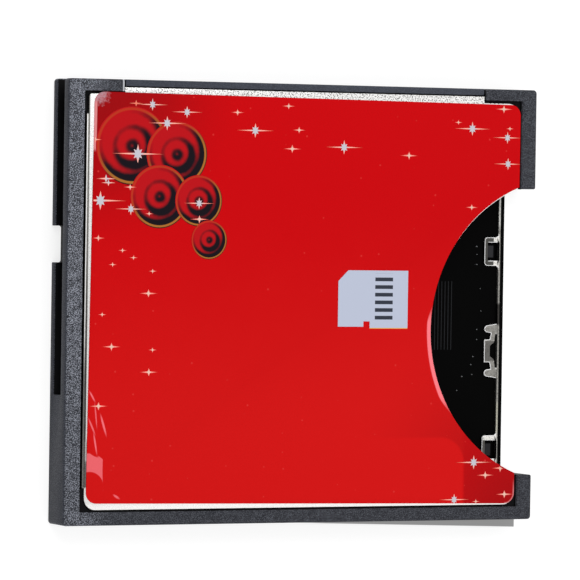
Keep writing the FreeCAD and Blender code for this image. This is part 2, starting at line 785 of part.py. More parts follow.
def make_liner():
    """Black film on the floor of the slot, ribbed in the middle, slit for the hem and pegged in each loop."""
    body = new_body("slot_liner")
    left = LEFT + size("liner_start")
    low = SLOT_LOW + GAP
    high = SLOT_HIGH - GAP
    slab(body, "liner_sheet", REAR_SHEET_TOP, LINER_TOP,
         box_corners(left, low, RIGHT - size("slot_edge"), high))
    slit_right = RIGHT - size("hem_outer") + GAP / 2
    slit_left = RIGHT - size("hem_outer") - size("hem_width") - GAP / 2
    recess(body, "liner_slit", REAR_SHEET_TOP, LINER_TOP, box_corners(
        slit_left, low + GAP * 2, slit_right, high - GAP * 2))
    peg_left = RIGHT - size("loop_reach") + size("loop_band") + GAP
    peg_half = size("peg_length") / 2
    for name, y in loop_places():
        slab(body, f"liner_{name}_peg", REAR_SHEET_TOP, LINER_TOP + size("peg_rise"), box_corners(
            peg_left, y - peg_half, peg_left + size("peg_width"), y + peg_half))
    rib_left = RIGHT - size("liner_rib_start")
    rib_low = SLOT_LOW + size("liner_rib_low")
    rib = slab(body, "liner_rib", REAR_SHEET_TOP, LINER_TOP + size("liner_rib_rise"), box_corners(
        rib_left, rib_low, rib_left + size("liner_rib_width"), rib_low + size("liner_rib_length")))
    repeat(body, "liner_ribs", rib, "H_Axis", size("liner_rib_count"), size("liner_rib_pitch"))
    return body


def label_field(name, low, high):
    """The label's outline between two levels, laid slightly askew."""
    body = new_body(name)
    low_left = (LEFT + size("label_side_low"), BACK + size("label_back_left"))
    slot_side = RIGHT - size("label_slot_side")
    low_right = (slot_side, BACK + size("label_back_right"))
    high_right = (slot_side + size("label_slot_lean"), FRONT - size("label_front_right"))
    high_left = (LEFT + size("label_side_low") + size("label_lean"), FRONT - size("label_front_left"))
    slab(body, name + "_sheet", low, high, [low_left, low_right, high_right, high_left])
    round_edges(body, name + "_corners", size("label_corner"),
                upright_at(low_left, low_right, high_right, high_left))
    disc_cut(body, name + "_thumb", low - GAP, high + GAP, THUMB_X, THUMB_Y,
             size("thumb_radius") + size("label_thumb_gap"))
    return body


def make_label():
    """Printed film on the front cover."""
    return label_field("front_label", FRONT_SHEET_TOP, LABEL_TOP)


# Circuit board and its parts

def make_board():
    """L-shaped board: a wide field beside the slot and a strip behind the connector."""
    body = new_body("circuit_board")
    left = LEFT + size("side_ledge") + GAP
    low = BACK + size("back_ledge") + GAP
    strip_low = SLOT_HIGH + size("bay_wall") + GAP
    right = RIGHT - size("slot_ledge") - GAP
    high = CONNECTOR_BACK - size("socket_row_gap") / 2
    slab(body, "board_sheet", BOARD_LOW, BOARD_TOP, [
        (left, low), (BOARD_RIGHT, low), (BOARD_RIGHT, strip_low), (right, strip_low),
        (right, high), (left, high),
    ])
    round_edges(body, "board_corners", size("board_corner"),
                upright_at((left, low), (BOARD_RIGHT, low), (right, high), (left, high)))
    return body


def chip_place():
    """Middle of the controller, clear of the crystal."""
    crystal_end = BACK + size("crystal_along") - size("crystal_length") / 2
    y = crystal_end - size("part_clearance") - size("chip_lead_length") - size("chip_side") / 2
    return LEFT + size("chip_across"), y


def regulator_place():
    """Middle of the regulator, clear of the controller."""
    x, chip_y = chip_place()
    chip_end = chip_y - size("chip_side") / 2 - size("chip_lead_length")
    return x, chip_end - size("part_clearance") - size("chip_lead_length") - size("regulator_width") / 2


def make_chip():
    """Square controller in a moulded package."""
    body = new_body("controller_chip")
    half = size("chip_side") / 2
    x, y = chip_place()
    slab(body, "chip_package", BOARD_TOP + GAP, BOARD_TOP + GAP + size("chip_rise"),
         box_corners(x - half, y - half, x + half, y + half))
    bevel_edges(body, "chip_first_corner", size("chip_lead_pitch"), upright_at((x - half, y + half)))
    return body


def make_chip_leads():
    """Flat leads on the four sides of the controller."""
    body = new_body("controller_leads")
    half = size("chip_side") / 2
    x, y = chip_place()
    reach = size("chip_lead_length")
    half_lead = size("chip_lead_width") / 2
    first = -(size("chip_lead_count") - 1) * size("chip_lead_pitch") / 2
    high = BOARD_TOP + size("contact_sheet")
    for name, low_x in (("left", x - half - reach), ("right", x + half)):
        lead = slab(body, f"{name}_lead", BOARD_TOP, high, box_corners(
            low_x, y + first - half_lead, low_x + reach, y + first + half_lead))
        repeat(body, f"{name}_leads", lead, "V_Axis",
               size("chip_lead_count"), size("chip_lead_pitch"))
    for name, low_y in (("back", y - half - reach), ("front", y + half)):
        lead = slab(body, f"{name}_lead", BOARD_TOP, high, box_corners(
            x + first - half_lead, low_y, x + first + half_lead, low_y + reach))
        repeat(body, f"{name}_leads", lead, "H_Axis",
               size("chip_lead_count"), size("chip_lead_pitch"))
    return body


def make_crystal():
    """Clock crystal in a lidded metal can."""
    body = new_body("clock_crystal")
    x = LEFT + size("chip_across")
    y = BACK + size("crystal_along")
    half_x = size("crystal_width") / 2
    half_y = size("crystal_length") / 2
    base = BOARD_TOP + size("crystal_rise") * 0.7
    rim = size("contact_sheet")
    slab(body, "crystal_base", BOARD_TOP, base,
         box_corners(x - half_x, y - half_y, x + half_x, y + half_y))
    slab(body, "crystal_lid", BOARD_TOP, BOARD_TOP + size("crystal_rise"), box_corners(
        x - half_x + rim, y - half_y + rim, x + half_x - rim, y + half_y - rim))
    return body


def make_regulator():
    """Small moulded voltage regulator."""
    body = new_body("voltage_regulator")
    x, y = regulator_place()
    half_x = size("regulator_length") / 2
    half_y = size("regulator_width") / 2
    slab(body, "regulator_package", BOARD_TOP + GAP, BOARD_TOP + size("regulator_rise"),
         box_corners(x - half_x, y - half_y, x + half_x, y + half_y))
    return body


def make_regulator_leads():
    """Three leads on one side of the regulator and two on the other."""
    body = new_body("regulator_leads")
    x, y = regulator_place()
    half_y = size("regulator_width") / 2
    pitch = size("regulator_length") / 3
    half_lead = size("chip_lead_width")
    reach = size("chip_lead_length")
    high = BOARD_TOP + size("contact_sheet")
    for name, low_y, places in (("front", y + half_y, (-1, 0, 1)), ("back", y - half_y - reach, (-1, 1))):
        slab(body, f"regulator_{name}_leads", BOARD_TOP, high, *[
            box_corners(x + pitch * place - half_lead, low_y, x + pitch * place + half_lead,
                        low_y + reach) for place in places])
    return body


def make_part_row(name, first_x, count):
    """A row of small ceramic parts along the board's connector strip."""
    body = new_body(name)
    y = FRONT - size("part_row_to_front")
    length = size("chip_part_width")
    width = size("chip_part_length")
    part = slab(body, name + "_first", BOARD_TOP, BOARD_TOP + size("chip_part_rise"), box_corners(
        first_x, y - length, first_x + width, y))
    repeat(body, name + "_row", part, "H_Axis", count, size("chip_part_pitch"))
    return body


# Contacts for the inserted card

def contact_place(number):
    """Place along the slot of one of the springs, numbered from the back."""
    middle = (size("card_contact_count") + 1) / 2
    return THUMB_Y + (as_size(number) - middle) * CARD_CONTACT_PITCH


def carrier_left():
    """Left face of the moulded stop that holds the springs."""
    return BAY_LEFT - size("carrier_wall") + GAP * 2


def make_carrier():
    """Moulded stop at the end of the slot, with a slot and a floor channel for each spring."""
    body = new_body("card_contact_carrier")
    left = carrier_left()
    wall = left + size("carrier_wall")
    low = SLOT_LOW + GAP
    high = SLOT_HIGH - GAP
    slab(body, "carrier_floor", REAR_SHEET_TOP, REAR_SHEET_TOP + size("carrier_floor"),
         box_corners(left, low, left + size("carrier_length"), high))
    slab(body, "carrier_wall", REAR_SHEET_TOP, FRONT_SHEET_LOW - GAP,
         box_corners(left, low, wall, high))
    half = size("card_contact_width") / 2 + GAP
    y = contact_place(1)
    floor = REAR_SHEET_TOP + size("carrier_floor")
    slot = recess(body, "carrier_slot", floor, FRONT_SHEET_LOW, box_corners(
        left - GAP, y - half, left + size("carrier_wall") * 0.7, y + half))
    repeat(body, "carrier_slots", slot, "V_Axis",
           size("card_contact_count"), CARD_CONTACT_PITCH)
    window = recess(body, "carrier_window", floor, floor + size("contact_sheet") * 2, box_corners(
        left, y - half, wall + GAP, y + half))
    repeat(body, "carrier_windows", window, "V_Axis",
           size("card_contact_count"), CARD_CONTACT_PITCH)
    return body


def make_card_contact(number):
    """A bent spring: tail on the board, drop through the stop, and an arm that rises to the card."""
    name = f"card_contact_{number}"
    body = new_body(name)
    sheet = size("contact_sheet")
    floor = REAR_SHEET_TOP + size("carrier_floor")
    tail = BOARD_RIGHT - size("carrier_wall") * 1.5
    drop = carrier_left() + size("carrier_wall") * 0.2
    foot = carrier_left() + size("carrier_wall") * 1.4
    peak = carrier_left() + size("card_contact_reach")
    tip = peak + sheet * 4
    crest = floor + size("card_contact_rise")
    strip(body, name + "_strip", "XZ_Plane", 0, size("card_contact_width"), [
        (tail, BOARD_TOP), (drop, BOARD_TOP), (drop, floor), (foot, floor),
        (peak, crest - sheet), (tip, crest - sheet * 2.5), (tip, crest - sheet * 1.5),
        (peak, crest), (foot, floor + sheet), (drop + sheet, floor + sheet),
        (drop + sheet, BOARD_TOP + sheet), (tail, BOARD_TOP + sheet),
    ])
    body.setExpression("Placement.Base.y", contact_place(number).text)
    return body


def make_switch_spring(name, bump, low):
    """A leaf along the back ledge with a bump that the card's edge pushes."""
    body = new_body(name)
    thick = size("switch_strip")
    y = BACK + size("back_ledge") + GAP * 2
    start = BOARD_RIGHT - size("carrier_wall") * 2
    rise = SLOT_LOW + size("switch_bump")
    slope = size("switch_pocket_length") / 5
    crest = size("switch_strip") * 2
    slab(body, name + "_leaf", low, low + size("switch_width"), [
        (start, y), (bump - slope, y), (bump - crest, rise - thick), (bump + crest, rise - thick),
        (bump + slope / 2, y + thick * 4), (bump + slope / 2, y + thick * 5),
        (bump + crest, rise), (bump - crest, rise), (bump - slope, y + thick), (start, y + thick),
    ])
    return body


def make_protect_foot(body, low):
    """Foot that brings the upper leaf down to the board."""
    start = BOARD_RIGHT - size("carrier_wall") * 2
    y = BACK + size("back_ledge") + GAP * 2
    slab(body, "write_protect_foot", BOARD_TOP, low + GAP,
         box_corners(start - size("carrier_wall"), y, start, y + size("switch_strip")))
    slab(body, "write_protect_neck", low, low + size("switch_width"),
         box_corners(start - size("carrier_wall"), y, start + GAP, y + size("switch_strip")))


# Ink on the film

def make_card_symbol():
    """Flat outline of a small memory card, with its cut corner and notch."""
    body = new_body("card_symbol")
    left = LEFT + size("symbol_left")
    right = LEFT + size("symbol_right")
    low = BACK + size("symbol_low")
    top = BACK + size("symbol_top")
    notch = LEFT + size("symbol_notch_left")
    notch_end = notch + size("symbol_notch_width")
    notch_top = low + size("symbol_notch_rise")
    foot = low - size("symbol_foot")
    chamfer = size("symbol_chamfer")
    slab(body, "symbol_ink", LABEL_TOP, TOP, [
        (left, low), (notch, low), (notch, notch_top), (notch_end, notch_top), (notch_end, foot),
        (right, foot), (right, top), (left + chamfer, top), (left, top - chamfer),
    ])
    return body


def ink_prism(points):
    """Raises a closed line of points on the film by the thickness of the ink."""
    corners = [Vector(x, y, LABEL_TOP.number) for x, y in points]
    face = Part.Face(Part.makePolygon(corners + corners[:1]))
    return face.extrude(Vector(0, 0, size("ink_film").number))


def sparkle(x, y, reach, rayed):
    """Star with a long flare across and a short one upright; the rayed kind has four more rays."""
    rise = reach * size("sparkle_squash").number + size("sparkle_core").number
    if rayed:
        quarter = [(reach, 0), (rise * 0.32, rise * 0.1), (rise * 0.48, rise * 0.48),
                   (rise * 0.16, rise * 0.36)]
    else:
        quarter = [(reach, 0), (rise * 0.28, rise * 0.2)]
    quarter.append((0, rise))
    points = []
    for across, along in ((1, 1), (-1, 1), (-1, -1), (1, -1)):
        corner = quarter if across == along else quarter[::-1]
        points += [(x + across * far, y + along * up) for far, up in corner[:-1]]
    return ink_prism(points)


def make_sparkles(field):
    """All the sparkles, each its own small solid of ink, ending at the label's edge."""
    groups = (
        (GREAT_SPARKLES, "great_sparkle", True), (LARGE_SPARKLES, "large_sparkle", True),
        (MEDIUM_SPARKLES, "medium_sparkle", True), (FAIR_SPARKLES, "fair_sparkle", False),
        (SMALL_SPARKLES, "small_sparkle", False), (TINY_SPARKLES, "tiny_sparkle", False),
    )
    width = size("card_width").number
    depth = size("card_depth").number
    solids = [
        sparkle(LEFT.number + across * width, BACK.number + along * depth, size(reach).number, rayed)
        for places, reach, rayed in groups for across, along in places
    ]
    rays = solids[0].multiFuse(solids[1:])
    stars = DOC.addObject("Part::Feature", "sparkle_rays")
    stars.Shape = Part.makeCompound(rays.Solids)
    return limit("sparkle_print", "Part::Common", stars, field)


def limit(name, kind, base, tool):
    """Keeps what a second shape leaves of the first."""
    feature = DOC.addObject(kind, name)
    feature.Label = name
    feature.Base = base
    feature.Tool = tool
    return feature


def make_wave_print(field, sparkles):
    """Overlapping round fields of ink joined into one patch, left clear where the sparkles stand."""
    body = new_body("wave_discs")
    width = size("card_width")
    for number, (across, along, radius) in enumerate(WAVE_RINGS, 1):
        disc(body, f"wave_disc_{number}", LABEL_TOP, TOP,
             LEFT + width * across, BACK + size("card_depth") * along, width * radius)
    inside = limit("wave_field", "Part::Common", body, field)
    return limit("wave_print", "Part::Cut", inside, sparkles)


def make_all():
    """Every sub-part, from the frame outwards and then inwards."""
    upper_face = BOARD_TOP
    lower_face = BOARD_LOW
    protect_low = BOARD_TOP + size("switch_width") + GAP * 2
    parts = [
        make_frame(),
        make_housing(),
        make_socket_row("socket_contacts_upper", upper_row(), upper_face, 1),
        make_socket_row("socket_contacts_lower", lower_row(), lower_face, -1),
        make_front_cover(),
        make_rear_cover(),
        make_liner(),
        make_label(),
        make_board(),
        make_chip(),
        make_chip_leads(),
        make_crystal(),
        make_regulator(),
        make_regulator_leads(),
        make_part_row("board_capacitors", BLOCK_LEFT, size("capacitor_count")),
        make_part_row("board_resistors", as_size(0), size("resistor_count")),
        make_carrier(),
    ]
    parts += [make_card_contact(number) for number in range(1, int(SIZES["card_contact_count"]) + 1)]
    protect_bump = SWITCH_POCKET_END - size("protect_bump_inset")
    detect_bump = protect_bump - size("switch_bump_apart")
    detect = make_switch_spring("card_detect_spring", detect_bump, BOARD_TOP)
    protect = make_switch_spring("write_protect_spring", protect_bump, protect_low)
    make_protect_foot(protect, protect_low)
    field = label_field("ink_field", LABEL_TOP - GAP, TOP + GAP)
    sparkles = make_sparkles(field)
    parts += [detect, protect, make_card_symbol(), sparkles, make_wave_print(field, sparkles)]
    return parts


def check(parts):
    """Stops if an object failed, a cut took nothing away, or a sub-part isn't sound."""
    for item in DOC.Objects:
        bad = [state for state in item.State if state in ("Invalid", "Error")]
        if bad:
            raise RuntimeError(f"{item.Label} is {bad}")
        if item.TypeId == "PartDesign::Pocket" and item.BaseFeature is not None:
            if item.Shape.Volume > item.BaseFeature.Shape.Volume - NEAR ** 2:
                raise RuntimeError(f"{item.Label} cuts nothing")
    for part in parts:
        if part.Shape.isNull() or not part.Shape.isValid():
            raise RuntimeError(f"{part.Label} isn't a sound shape")


def main():
    """Builds the adapter and writes one file for each sub-part."""
    parts = make_all()
    DOC.recompute()
    check(parts)
    os.makedirs("parts", exist_ok=True)
    for part in parts:
        part.Shape.exportStep(f"parts/{part.Label}.step")
        print(part.Label, len(part.Shape.Solids), round(part.Shape.Volume, 3))


main()
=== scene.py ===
"""Studio scene of a slot-in memory card adapter.

A moulded rim and socket block, two steel covers, a printed film, a black slot and the electronics inside.
"""
from __future__ import annotations

import json
import logging
import math
from dataclasses import dataclass
from enum import Enum

import bpy
from mathutils import Matrix, Vector

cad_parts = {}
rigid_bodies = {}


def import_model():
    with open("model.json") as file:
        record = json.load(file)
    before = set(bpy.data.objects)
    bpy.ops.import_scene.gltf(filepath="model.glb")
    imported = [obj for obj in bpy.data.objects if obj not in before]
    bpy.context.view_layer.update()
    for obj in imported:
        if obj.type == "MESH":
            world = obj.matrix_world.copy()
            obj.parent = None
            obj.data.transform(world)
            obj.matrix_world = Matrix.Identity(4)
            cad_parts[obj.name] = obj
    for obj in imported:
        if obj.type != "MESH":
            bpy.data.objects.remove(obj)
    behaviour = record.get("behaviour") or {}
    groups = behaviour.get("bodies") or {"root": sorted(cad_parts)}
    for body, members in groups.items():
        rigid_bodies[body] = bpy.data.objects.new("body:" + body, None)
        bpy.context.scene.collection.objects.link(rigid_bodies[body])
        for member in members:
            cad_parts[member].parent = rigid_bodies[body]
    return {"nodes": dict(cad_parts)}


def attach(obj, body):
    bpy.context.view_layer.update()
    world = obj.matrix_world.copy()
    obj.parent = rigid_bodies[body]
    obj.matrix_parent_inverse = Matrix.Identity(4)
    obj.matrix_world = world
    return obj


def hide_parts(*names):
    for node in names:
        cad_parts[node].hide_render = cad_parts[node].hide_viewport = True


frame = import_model()

LOG = logging.getLogger("card_adapter")
MM = 0.001
# Top of the printed film over the table, in millimetres
PRINT_LEVEL = 3.28
# How much the finer layers of a cloudy pattern count
LAYERS = 0.55
# Points nearer than this in metres are one, and faces that turn by less than this in degrees are one
SAME_POINT = 2e-7
SAME_PLANE = 0.4
# How near a round wall its points lie, and how near the piece's straight edge its ends lie, in millimetres
ON_WALL = 0.03
AT_EDGE = 0.3
Colour = tuple[float, float, float, float]
Place = tuple[float, float, float]
Span = tuple[float, float]
Piece = bpy.types.Object
Material = bpy.types.Material
Socket = bpy.types.NodeSocket
# What the kinds of arithmetic share: Blender's name, the sockets filled in turn, the output and the setting's name
SUM = ("Math", (0, 1), 0, "operation")
STEP = ("VectorMath", (0, 1), 0, "operation")
MEASURE = ("VectorMath", (0, 1), "Value", "operation")


class Slot(Enum):
    """The record's material slots."""

    FRAME = "frame_plastic"
    HOUSING = "housing_plastic"
    STEEL = "sheet_steel"
    FILM = "printed_film"
    LINER = "liner_film"
    SPARKLE = "sparkle_ink"


class Shading(Enum):
    """How the faces of a piece meet in its shading."""

    FLAT = 0.0
    MOULDED = 28.0
    ROUNDED = 50.0


class Node(Enum):
    """The shader nodes in use: Blender's name, the sockets filled in turn, the output handed back and a setting."""

    PLACE = ("TexCoord", (), "Object")
    DIRECTION = ("TexCoord", (), "Generated")
    RAYS = ("LightPath", (), "Is Camera Ray")
    SHEARED = ("Attribute", (), "Fac", "attribute_name", "sheared")
    FLARE = ("Attribute", (), "Fac", "attribute_name", "flare")
    LITTLE = ("Attribute", (), "Fac", "attribute_name", "little")
    SPLIT = ("SeparateXYZ", (0,), "X")
    JOIN = ("CombineXYZ", (0, 1), 0)
    RED = ("SeparateColor", (0,), "Red")
    CLOUDS = ("TexNoise", ("Vector", "Scale", "Detail", "Roughness"), "Fac")
    CELLS = ("TexVoronoi", ("Vector", "Scale"), "Color", "voronoi_dimensions", "2D")
    STRETCH = ("Mapping", ("Vector", "Scale"), 0)
    SPOT = ("Mapping", ("Vector", "Location", "Rotation", "Scale"), 0, "vector_type", "TEXTURE")
    EASE = ("MapRange", ("Value", "From Min", "From Max", "To Min", "To Max"), 0, "interpolation_type", "SMOOTHSTEP")
    MIX = ("Mix", (0, 6, 7), 2, "data_type", "RGBA")
    SWITCH = ("Mix", (0, 2, 3), 0, "data_type", "FLOAT")
    BUMP = ("Bump", ("Height", "Distance", "Strength"), "Normal")
    TIMES = (*SUM, "MULTIPLY")
    OVER = (*SUM, "DIVIDE")
    PLUS = (*SUM, "ADD")
    MINUS = (*SUM, "SUBTRACT")
    HIGHEST = (*SUM, "MAXIMUM")
    ABOVE = (*SUM, "GREATER_THAN")
    BELOW = (*SUM, "LESS_THAN")
    SIZE = (*SUM, "ABSOLUTE")
    REST = (*SUM, "FRACT")
    SINE = (*SUM, "SINE")
    STEPS = (*STEP, "SUBTRACT")
    FLATTEN = (*STEP, "MULTIPLY")
    LENGTH = (*MEASURE, "LENGTH")
    DISTANCE = (*MEASURE, "DISTANCE")
    TOWARDS = (*MEASURE, "DOT_PRODUCT")


def linear(code: str) -> Colour:
    """Turns a screen colour into the linear one that shaders take.

    Args:
        code: sRGB colour as "#RRGGBB".

    Returns:
        Linear red, green, blue and full alpha.
    """
    parts = [int(code[i:i + 2], 16) / 255 for i in (1, 3, 5)]
    bent = [p / 12.92 if p <= 0.04045 else ((p + 0.055) / 1.055) ** 2.4 for p in parts]
    return bent[0], bent[1], bent[2], 1.0


def per(size_mm: float) -> float:
    """A texture's scale for a pattern whose lumps have this real size."""
    return 1 / (size_mm * MM)


def metres(*lengths_mm: float) -> tuple[float, ...]:
    """Lengths or places in metres, from millimetres."""
    return tuple(length * MM for length in lengths_mm)


def step_at(place_mm: float, blur_mm: float) -> Span:
    """The two ends, in metres, of a soft step that rises, or falls where the blur is negative."""
    return (place_mm - blur_mm) * MM, (place_mm + blur_mm) * MM


class Wiring:
    """A node tree that is being filled."""

    def __init__(self, tree: bpy.types.NodeTree) -> None:
        """Takes the tree to fill."""
        self.tree = tree

    def put(self, socket: Socket, value: object) -> None:
        """Links an output into a socket, or writes a number, a vector or a colour code there.

        Args:
            socket: input that takes the value.
            value: the output or the plain value.
        """
        if isinstance(value, Socket):
            self.tree.links.new(value, socket)
        else:
            socket.default_value = linear(value) if isinstance(value, str) else value

    def add(self, kind: Node, *values: object) -> Socket:
        """Adds one node with its setting and its links.

        Args:
            kind: what the node does.
            values: what goes into its sockets in turn; those left out keep their default.

        Returns:
            The node's output.
        """
        name, sockets, output, *setting = kind.value
        node = self.tree.nodes.new(f"ShaderNode{name}")
        if setting:
            setattr(node, *setting)
        for socket, value in zip(sockets, values):
            self.put(node.inputs[socket], value)
        return node.outputs[output]


class Paint(Wiring):
    """A material that is being made: its nodes, its shader and where a point lies on the piece."""

    def __init__(self, name: str) -> None:
        """Opens a material.

        Args:
            name: name of the material.
        """
        self.material = bpy.data.materials.new(name)
        self.material.use_nodes = True
        super().__init__(self.material.node_tree)
        self.place = self.add(Node.PLACE)
        self.across, self.along, self.level = self.add(Node.SPLIT, self.place).node.outputs

    def surface(self, name: str, value: object) -> None:
        """Sets one socket of the shader."""
        self.put(self.tree.nodes["Principled BSDF"].inputs[name], value)

    def finished(self, colour: Socket, height: Socket, depth_mm: float, strength: float) -> Material:
        """Gives the shader its colour and its relief.

        Args:
            colour: colour all over the piece.
            height: pattern between 0 and 1 that roughens the shading.
            depth_mm: height of that pattern in millimetres.
            strength: share of its effect.

        Returns:
            The material.
        """
        self.surface("Base Color", colour)
        self.surface("Normal", self.add(Node.BUMP, height, depth_mm * MM, strength))
        return self.material

    def band(self, value: Socket, low_mm: float, high_mm: float, blur_mm: float = 0.02) -> Socket:
        """Picks the points whose coordinate lies between two places.

        Args:
            value: one coordinate in metres.
            low_mm: lower place in millimetres.
            high_mm: upper place in millimetres.
            blur_mm: half the width of each soft end.

        Returns:
            1 between the places, 0 outside.
        """
        after = self.add(Node.EASE, value, *step_at(low_mm, blur_mm))
        before = self.add(Node.EASE, value, *step_at(high_mm, -blur_mm))
        return self.add(Node.TIMES, after, before)

    def from_corner(self, across: Socket, along: Socket) -> Socket:
        """Measures how far a point lies beyond the start of a round corner.

        Args:
            across: distance past the corner's centre, across.
            along: distance past the corner's centre, along.

        Returns:
            The distance in metres, 0 before both.
        """
        outward = self.add(Node.JOIN, self.add(Node.HIGHEST, across, 0.0), self.add(Node.HIGHEST, along, 0.0))
        return self.add(Node.LENGTH, outward)


def deselect_everything() -> None:
    """Leaves no object selected, so that an operator acts on one piece alone."""
    for piece in bpy.data.objects:
        piece.select_set(False)


def work_on(piece: Piece) -> None:
    """Selects one piece and makes it active.

    Args:
        piece: object that the next operators act on.
    """
    deselect_everything()
    bpy.context.view_layer.objects.active = piece
    piece.select_set(True)


def copy_of_node(node: str, name: str) -> Piece:
    """Copies a node's mesh into a piece of its own, with its triangles joined into whole faces.

    Args:
        node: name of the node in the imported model.
        name: name of the new piece.

    Returns:
        The new piece, at the origin.
    """
    piece = bpy.data.objects.new(name, frame["nodes"][node].data.copy())
    bpy.context.scene.collection.objects.link(piece)
    piece.data.materials.clear()
    work_on(piece)
    bpy.ops.object.mode_set(mode="EDIT")
    bpy.ops.mesh.select_all(action="SELECT")
    bpy.ops.mesh.remove_doubles(threshold=SAME_POINT)
    bpy.ops.mesh.customdata_custom_splitnormals_clear()
    bpy.ops.mesh.select_all(action="SELECT")
    bpy.ops.mesh.dissolve_limited(angle_limit=math.radians(SAME_PLANE))
    bpy.ops.object.mode_set(mode="OBJECT")
    return piece


@dataclass(frozen=True)
class Round:
    """A circle on the card's face, in millimetres."""

    x: float
    y: float
    radius: float


# The thumb cut-out as the solids have it, on the cover and on the film
SOLID_COVER_THUMB = Round(24.37, -2.31, 12.84)
SOLID_FILM_THUMB = Round(24.37, -2.31, 12.9)
# The same, fitted closer to the real one; the film lies a little askew on its cover
COVER_THUMB = Round(24.616, -2.205, 12.974)
FILM_THUMB = Round(24.687, -2.163, 13.045)


def refit_round(piece: Piece, old: Round, new: Round) -> None:
    """Moves the wall of a round cut-out onto another circle, with its two ends kept on the piece's straight edge.

    Args:
        piece: mesh object whose cut-out opens to the right.
        old: circle that the wall lies on.
        new: circle that it moves to.
    """
    wall = [
        point for point in piece.data.vertices
        if abs(math.hypot(point.co.x / MM - old.x, point.co.y / MM - old.y) - old.radius) < ON_WALL
    ]
    ends = max(point.co.x for point in wall) - AT_EDGE * MM
    for point in wall:
        across = point.co.x / MM - new.x
        along = point.co.y / MM - new.y
        if point.co.x > ends:
            point.co.y = (new.y + math.copysign(math.sqrt(new.radius ** 2 - across ** 2), along)) * MM
            continue
        far = math.hypot(across, along)
        point.co.x = (new.x + across / far * new.radius) * MM
        point.co.y = (new.y + along / far * new.radius) * MM
    LOG.info("%s: %d points of its cut-out moved", piece.name, len(wall))


def slide_left_end(piece: Piece, beyond_mm: float, by_mm: float, lean: float) -> None:
    """Slides the left end of a piece sideways, and so makes the piece longer or shorter.

    Args:
        piece: mesh object.
        beyond_mm: points further left than this move.
        by_mm: how far they move to the right at the card's middle.
        lean: how much further they move for each step towards the connector.
    """
    for point in piece.data.vertices:
        if point.co.x < beyond_mm * MM:
            point.co.x += by_mm * MM + lean * point.co.y


def soften_edges(piece: Piece, width_mm: float, segments: int, over: float = 35.0) -> None:
    """Gives the sharp edges of a piece a small round.

    Args:
        piece: mesh object.
        width_mm: width of the round in millimetres.
        segments: strips across the round.
        over: degrees past which an edge counts as sharp.
    """
    work_on(piece)
    bevel = piece.modifiers.new("edge_round", "BEVEL")
    bevel.width = width_mm * MM
    bevel.segments = segments
    bevel.limit_method = "ANGLE"
    bevel.angle_limit = math.radians(over)
    bevel.use_clamp_overlap = False
    bevel.miter_outer = "MITER_ARC"
    bpy.ops.object.modifier_apply(modifier=bevel.name)


def finish_piece(piece: Piece, material: Material, slot: Slot, shading: Shading, *nodes: str) -> None:
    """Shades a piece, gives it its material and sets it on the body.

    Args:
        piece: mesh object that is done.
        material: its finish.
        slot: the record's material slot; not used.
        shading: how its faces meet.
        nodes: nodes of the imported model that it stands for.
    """
    work_on(piece)
    if shading is Shading.FLAT:
        bpy.ops.object.shade_flat()
    else:
        bpy.ops.object.shade_smooth_by_angle(angle=math.radians(shading.value))
    piece.data.materials.clear()
    piece.data.materials.append(material)
    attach(piece, "root")
    if nodes:
        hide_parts(*nodes)
    LOG.info("%s: %d faces", piece.name, len(piece.data.polygons))


def dress_node(node: str, material: Material) -> None:
    """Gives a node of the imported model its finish.

    Args:
        node: name of the node.
        material: finish for all of it.
    """
    carried = frame["nodes"][node]
    if not carried.material_slots:
        carried.data.materials.append(material)
    for place in carried.material_slots:
        place.material = material
    LOG.info("%s: %s", node, material.name)


@dataclass(frozen=True)
class Finish:
    """What all the finishes share: a name, a colour and a roughness."""

    name: str
    colour: str
    roughness: float = 0.5

    def start(self, gloss: float | None = None) -> Paint:
        """Opens the material.

        Args:
            gloss: strength of the shine, where it isn't the usual one.

        Returns:
            The material in its plain colour.
        """
        paint = Paint(self.name)
        paint.surface("Base Color", self.colour)
        paint.surface("Roughness", self.roughness)
        if gloss is not None:
            paint.surface("Specular IOR Level", gloss)
        return paint


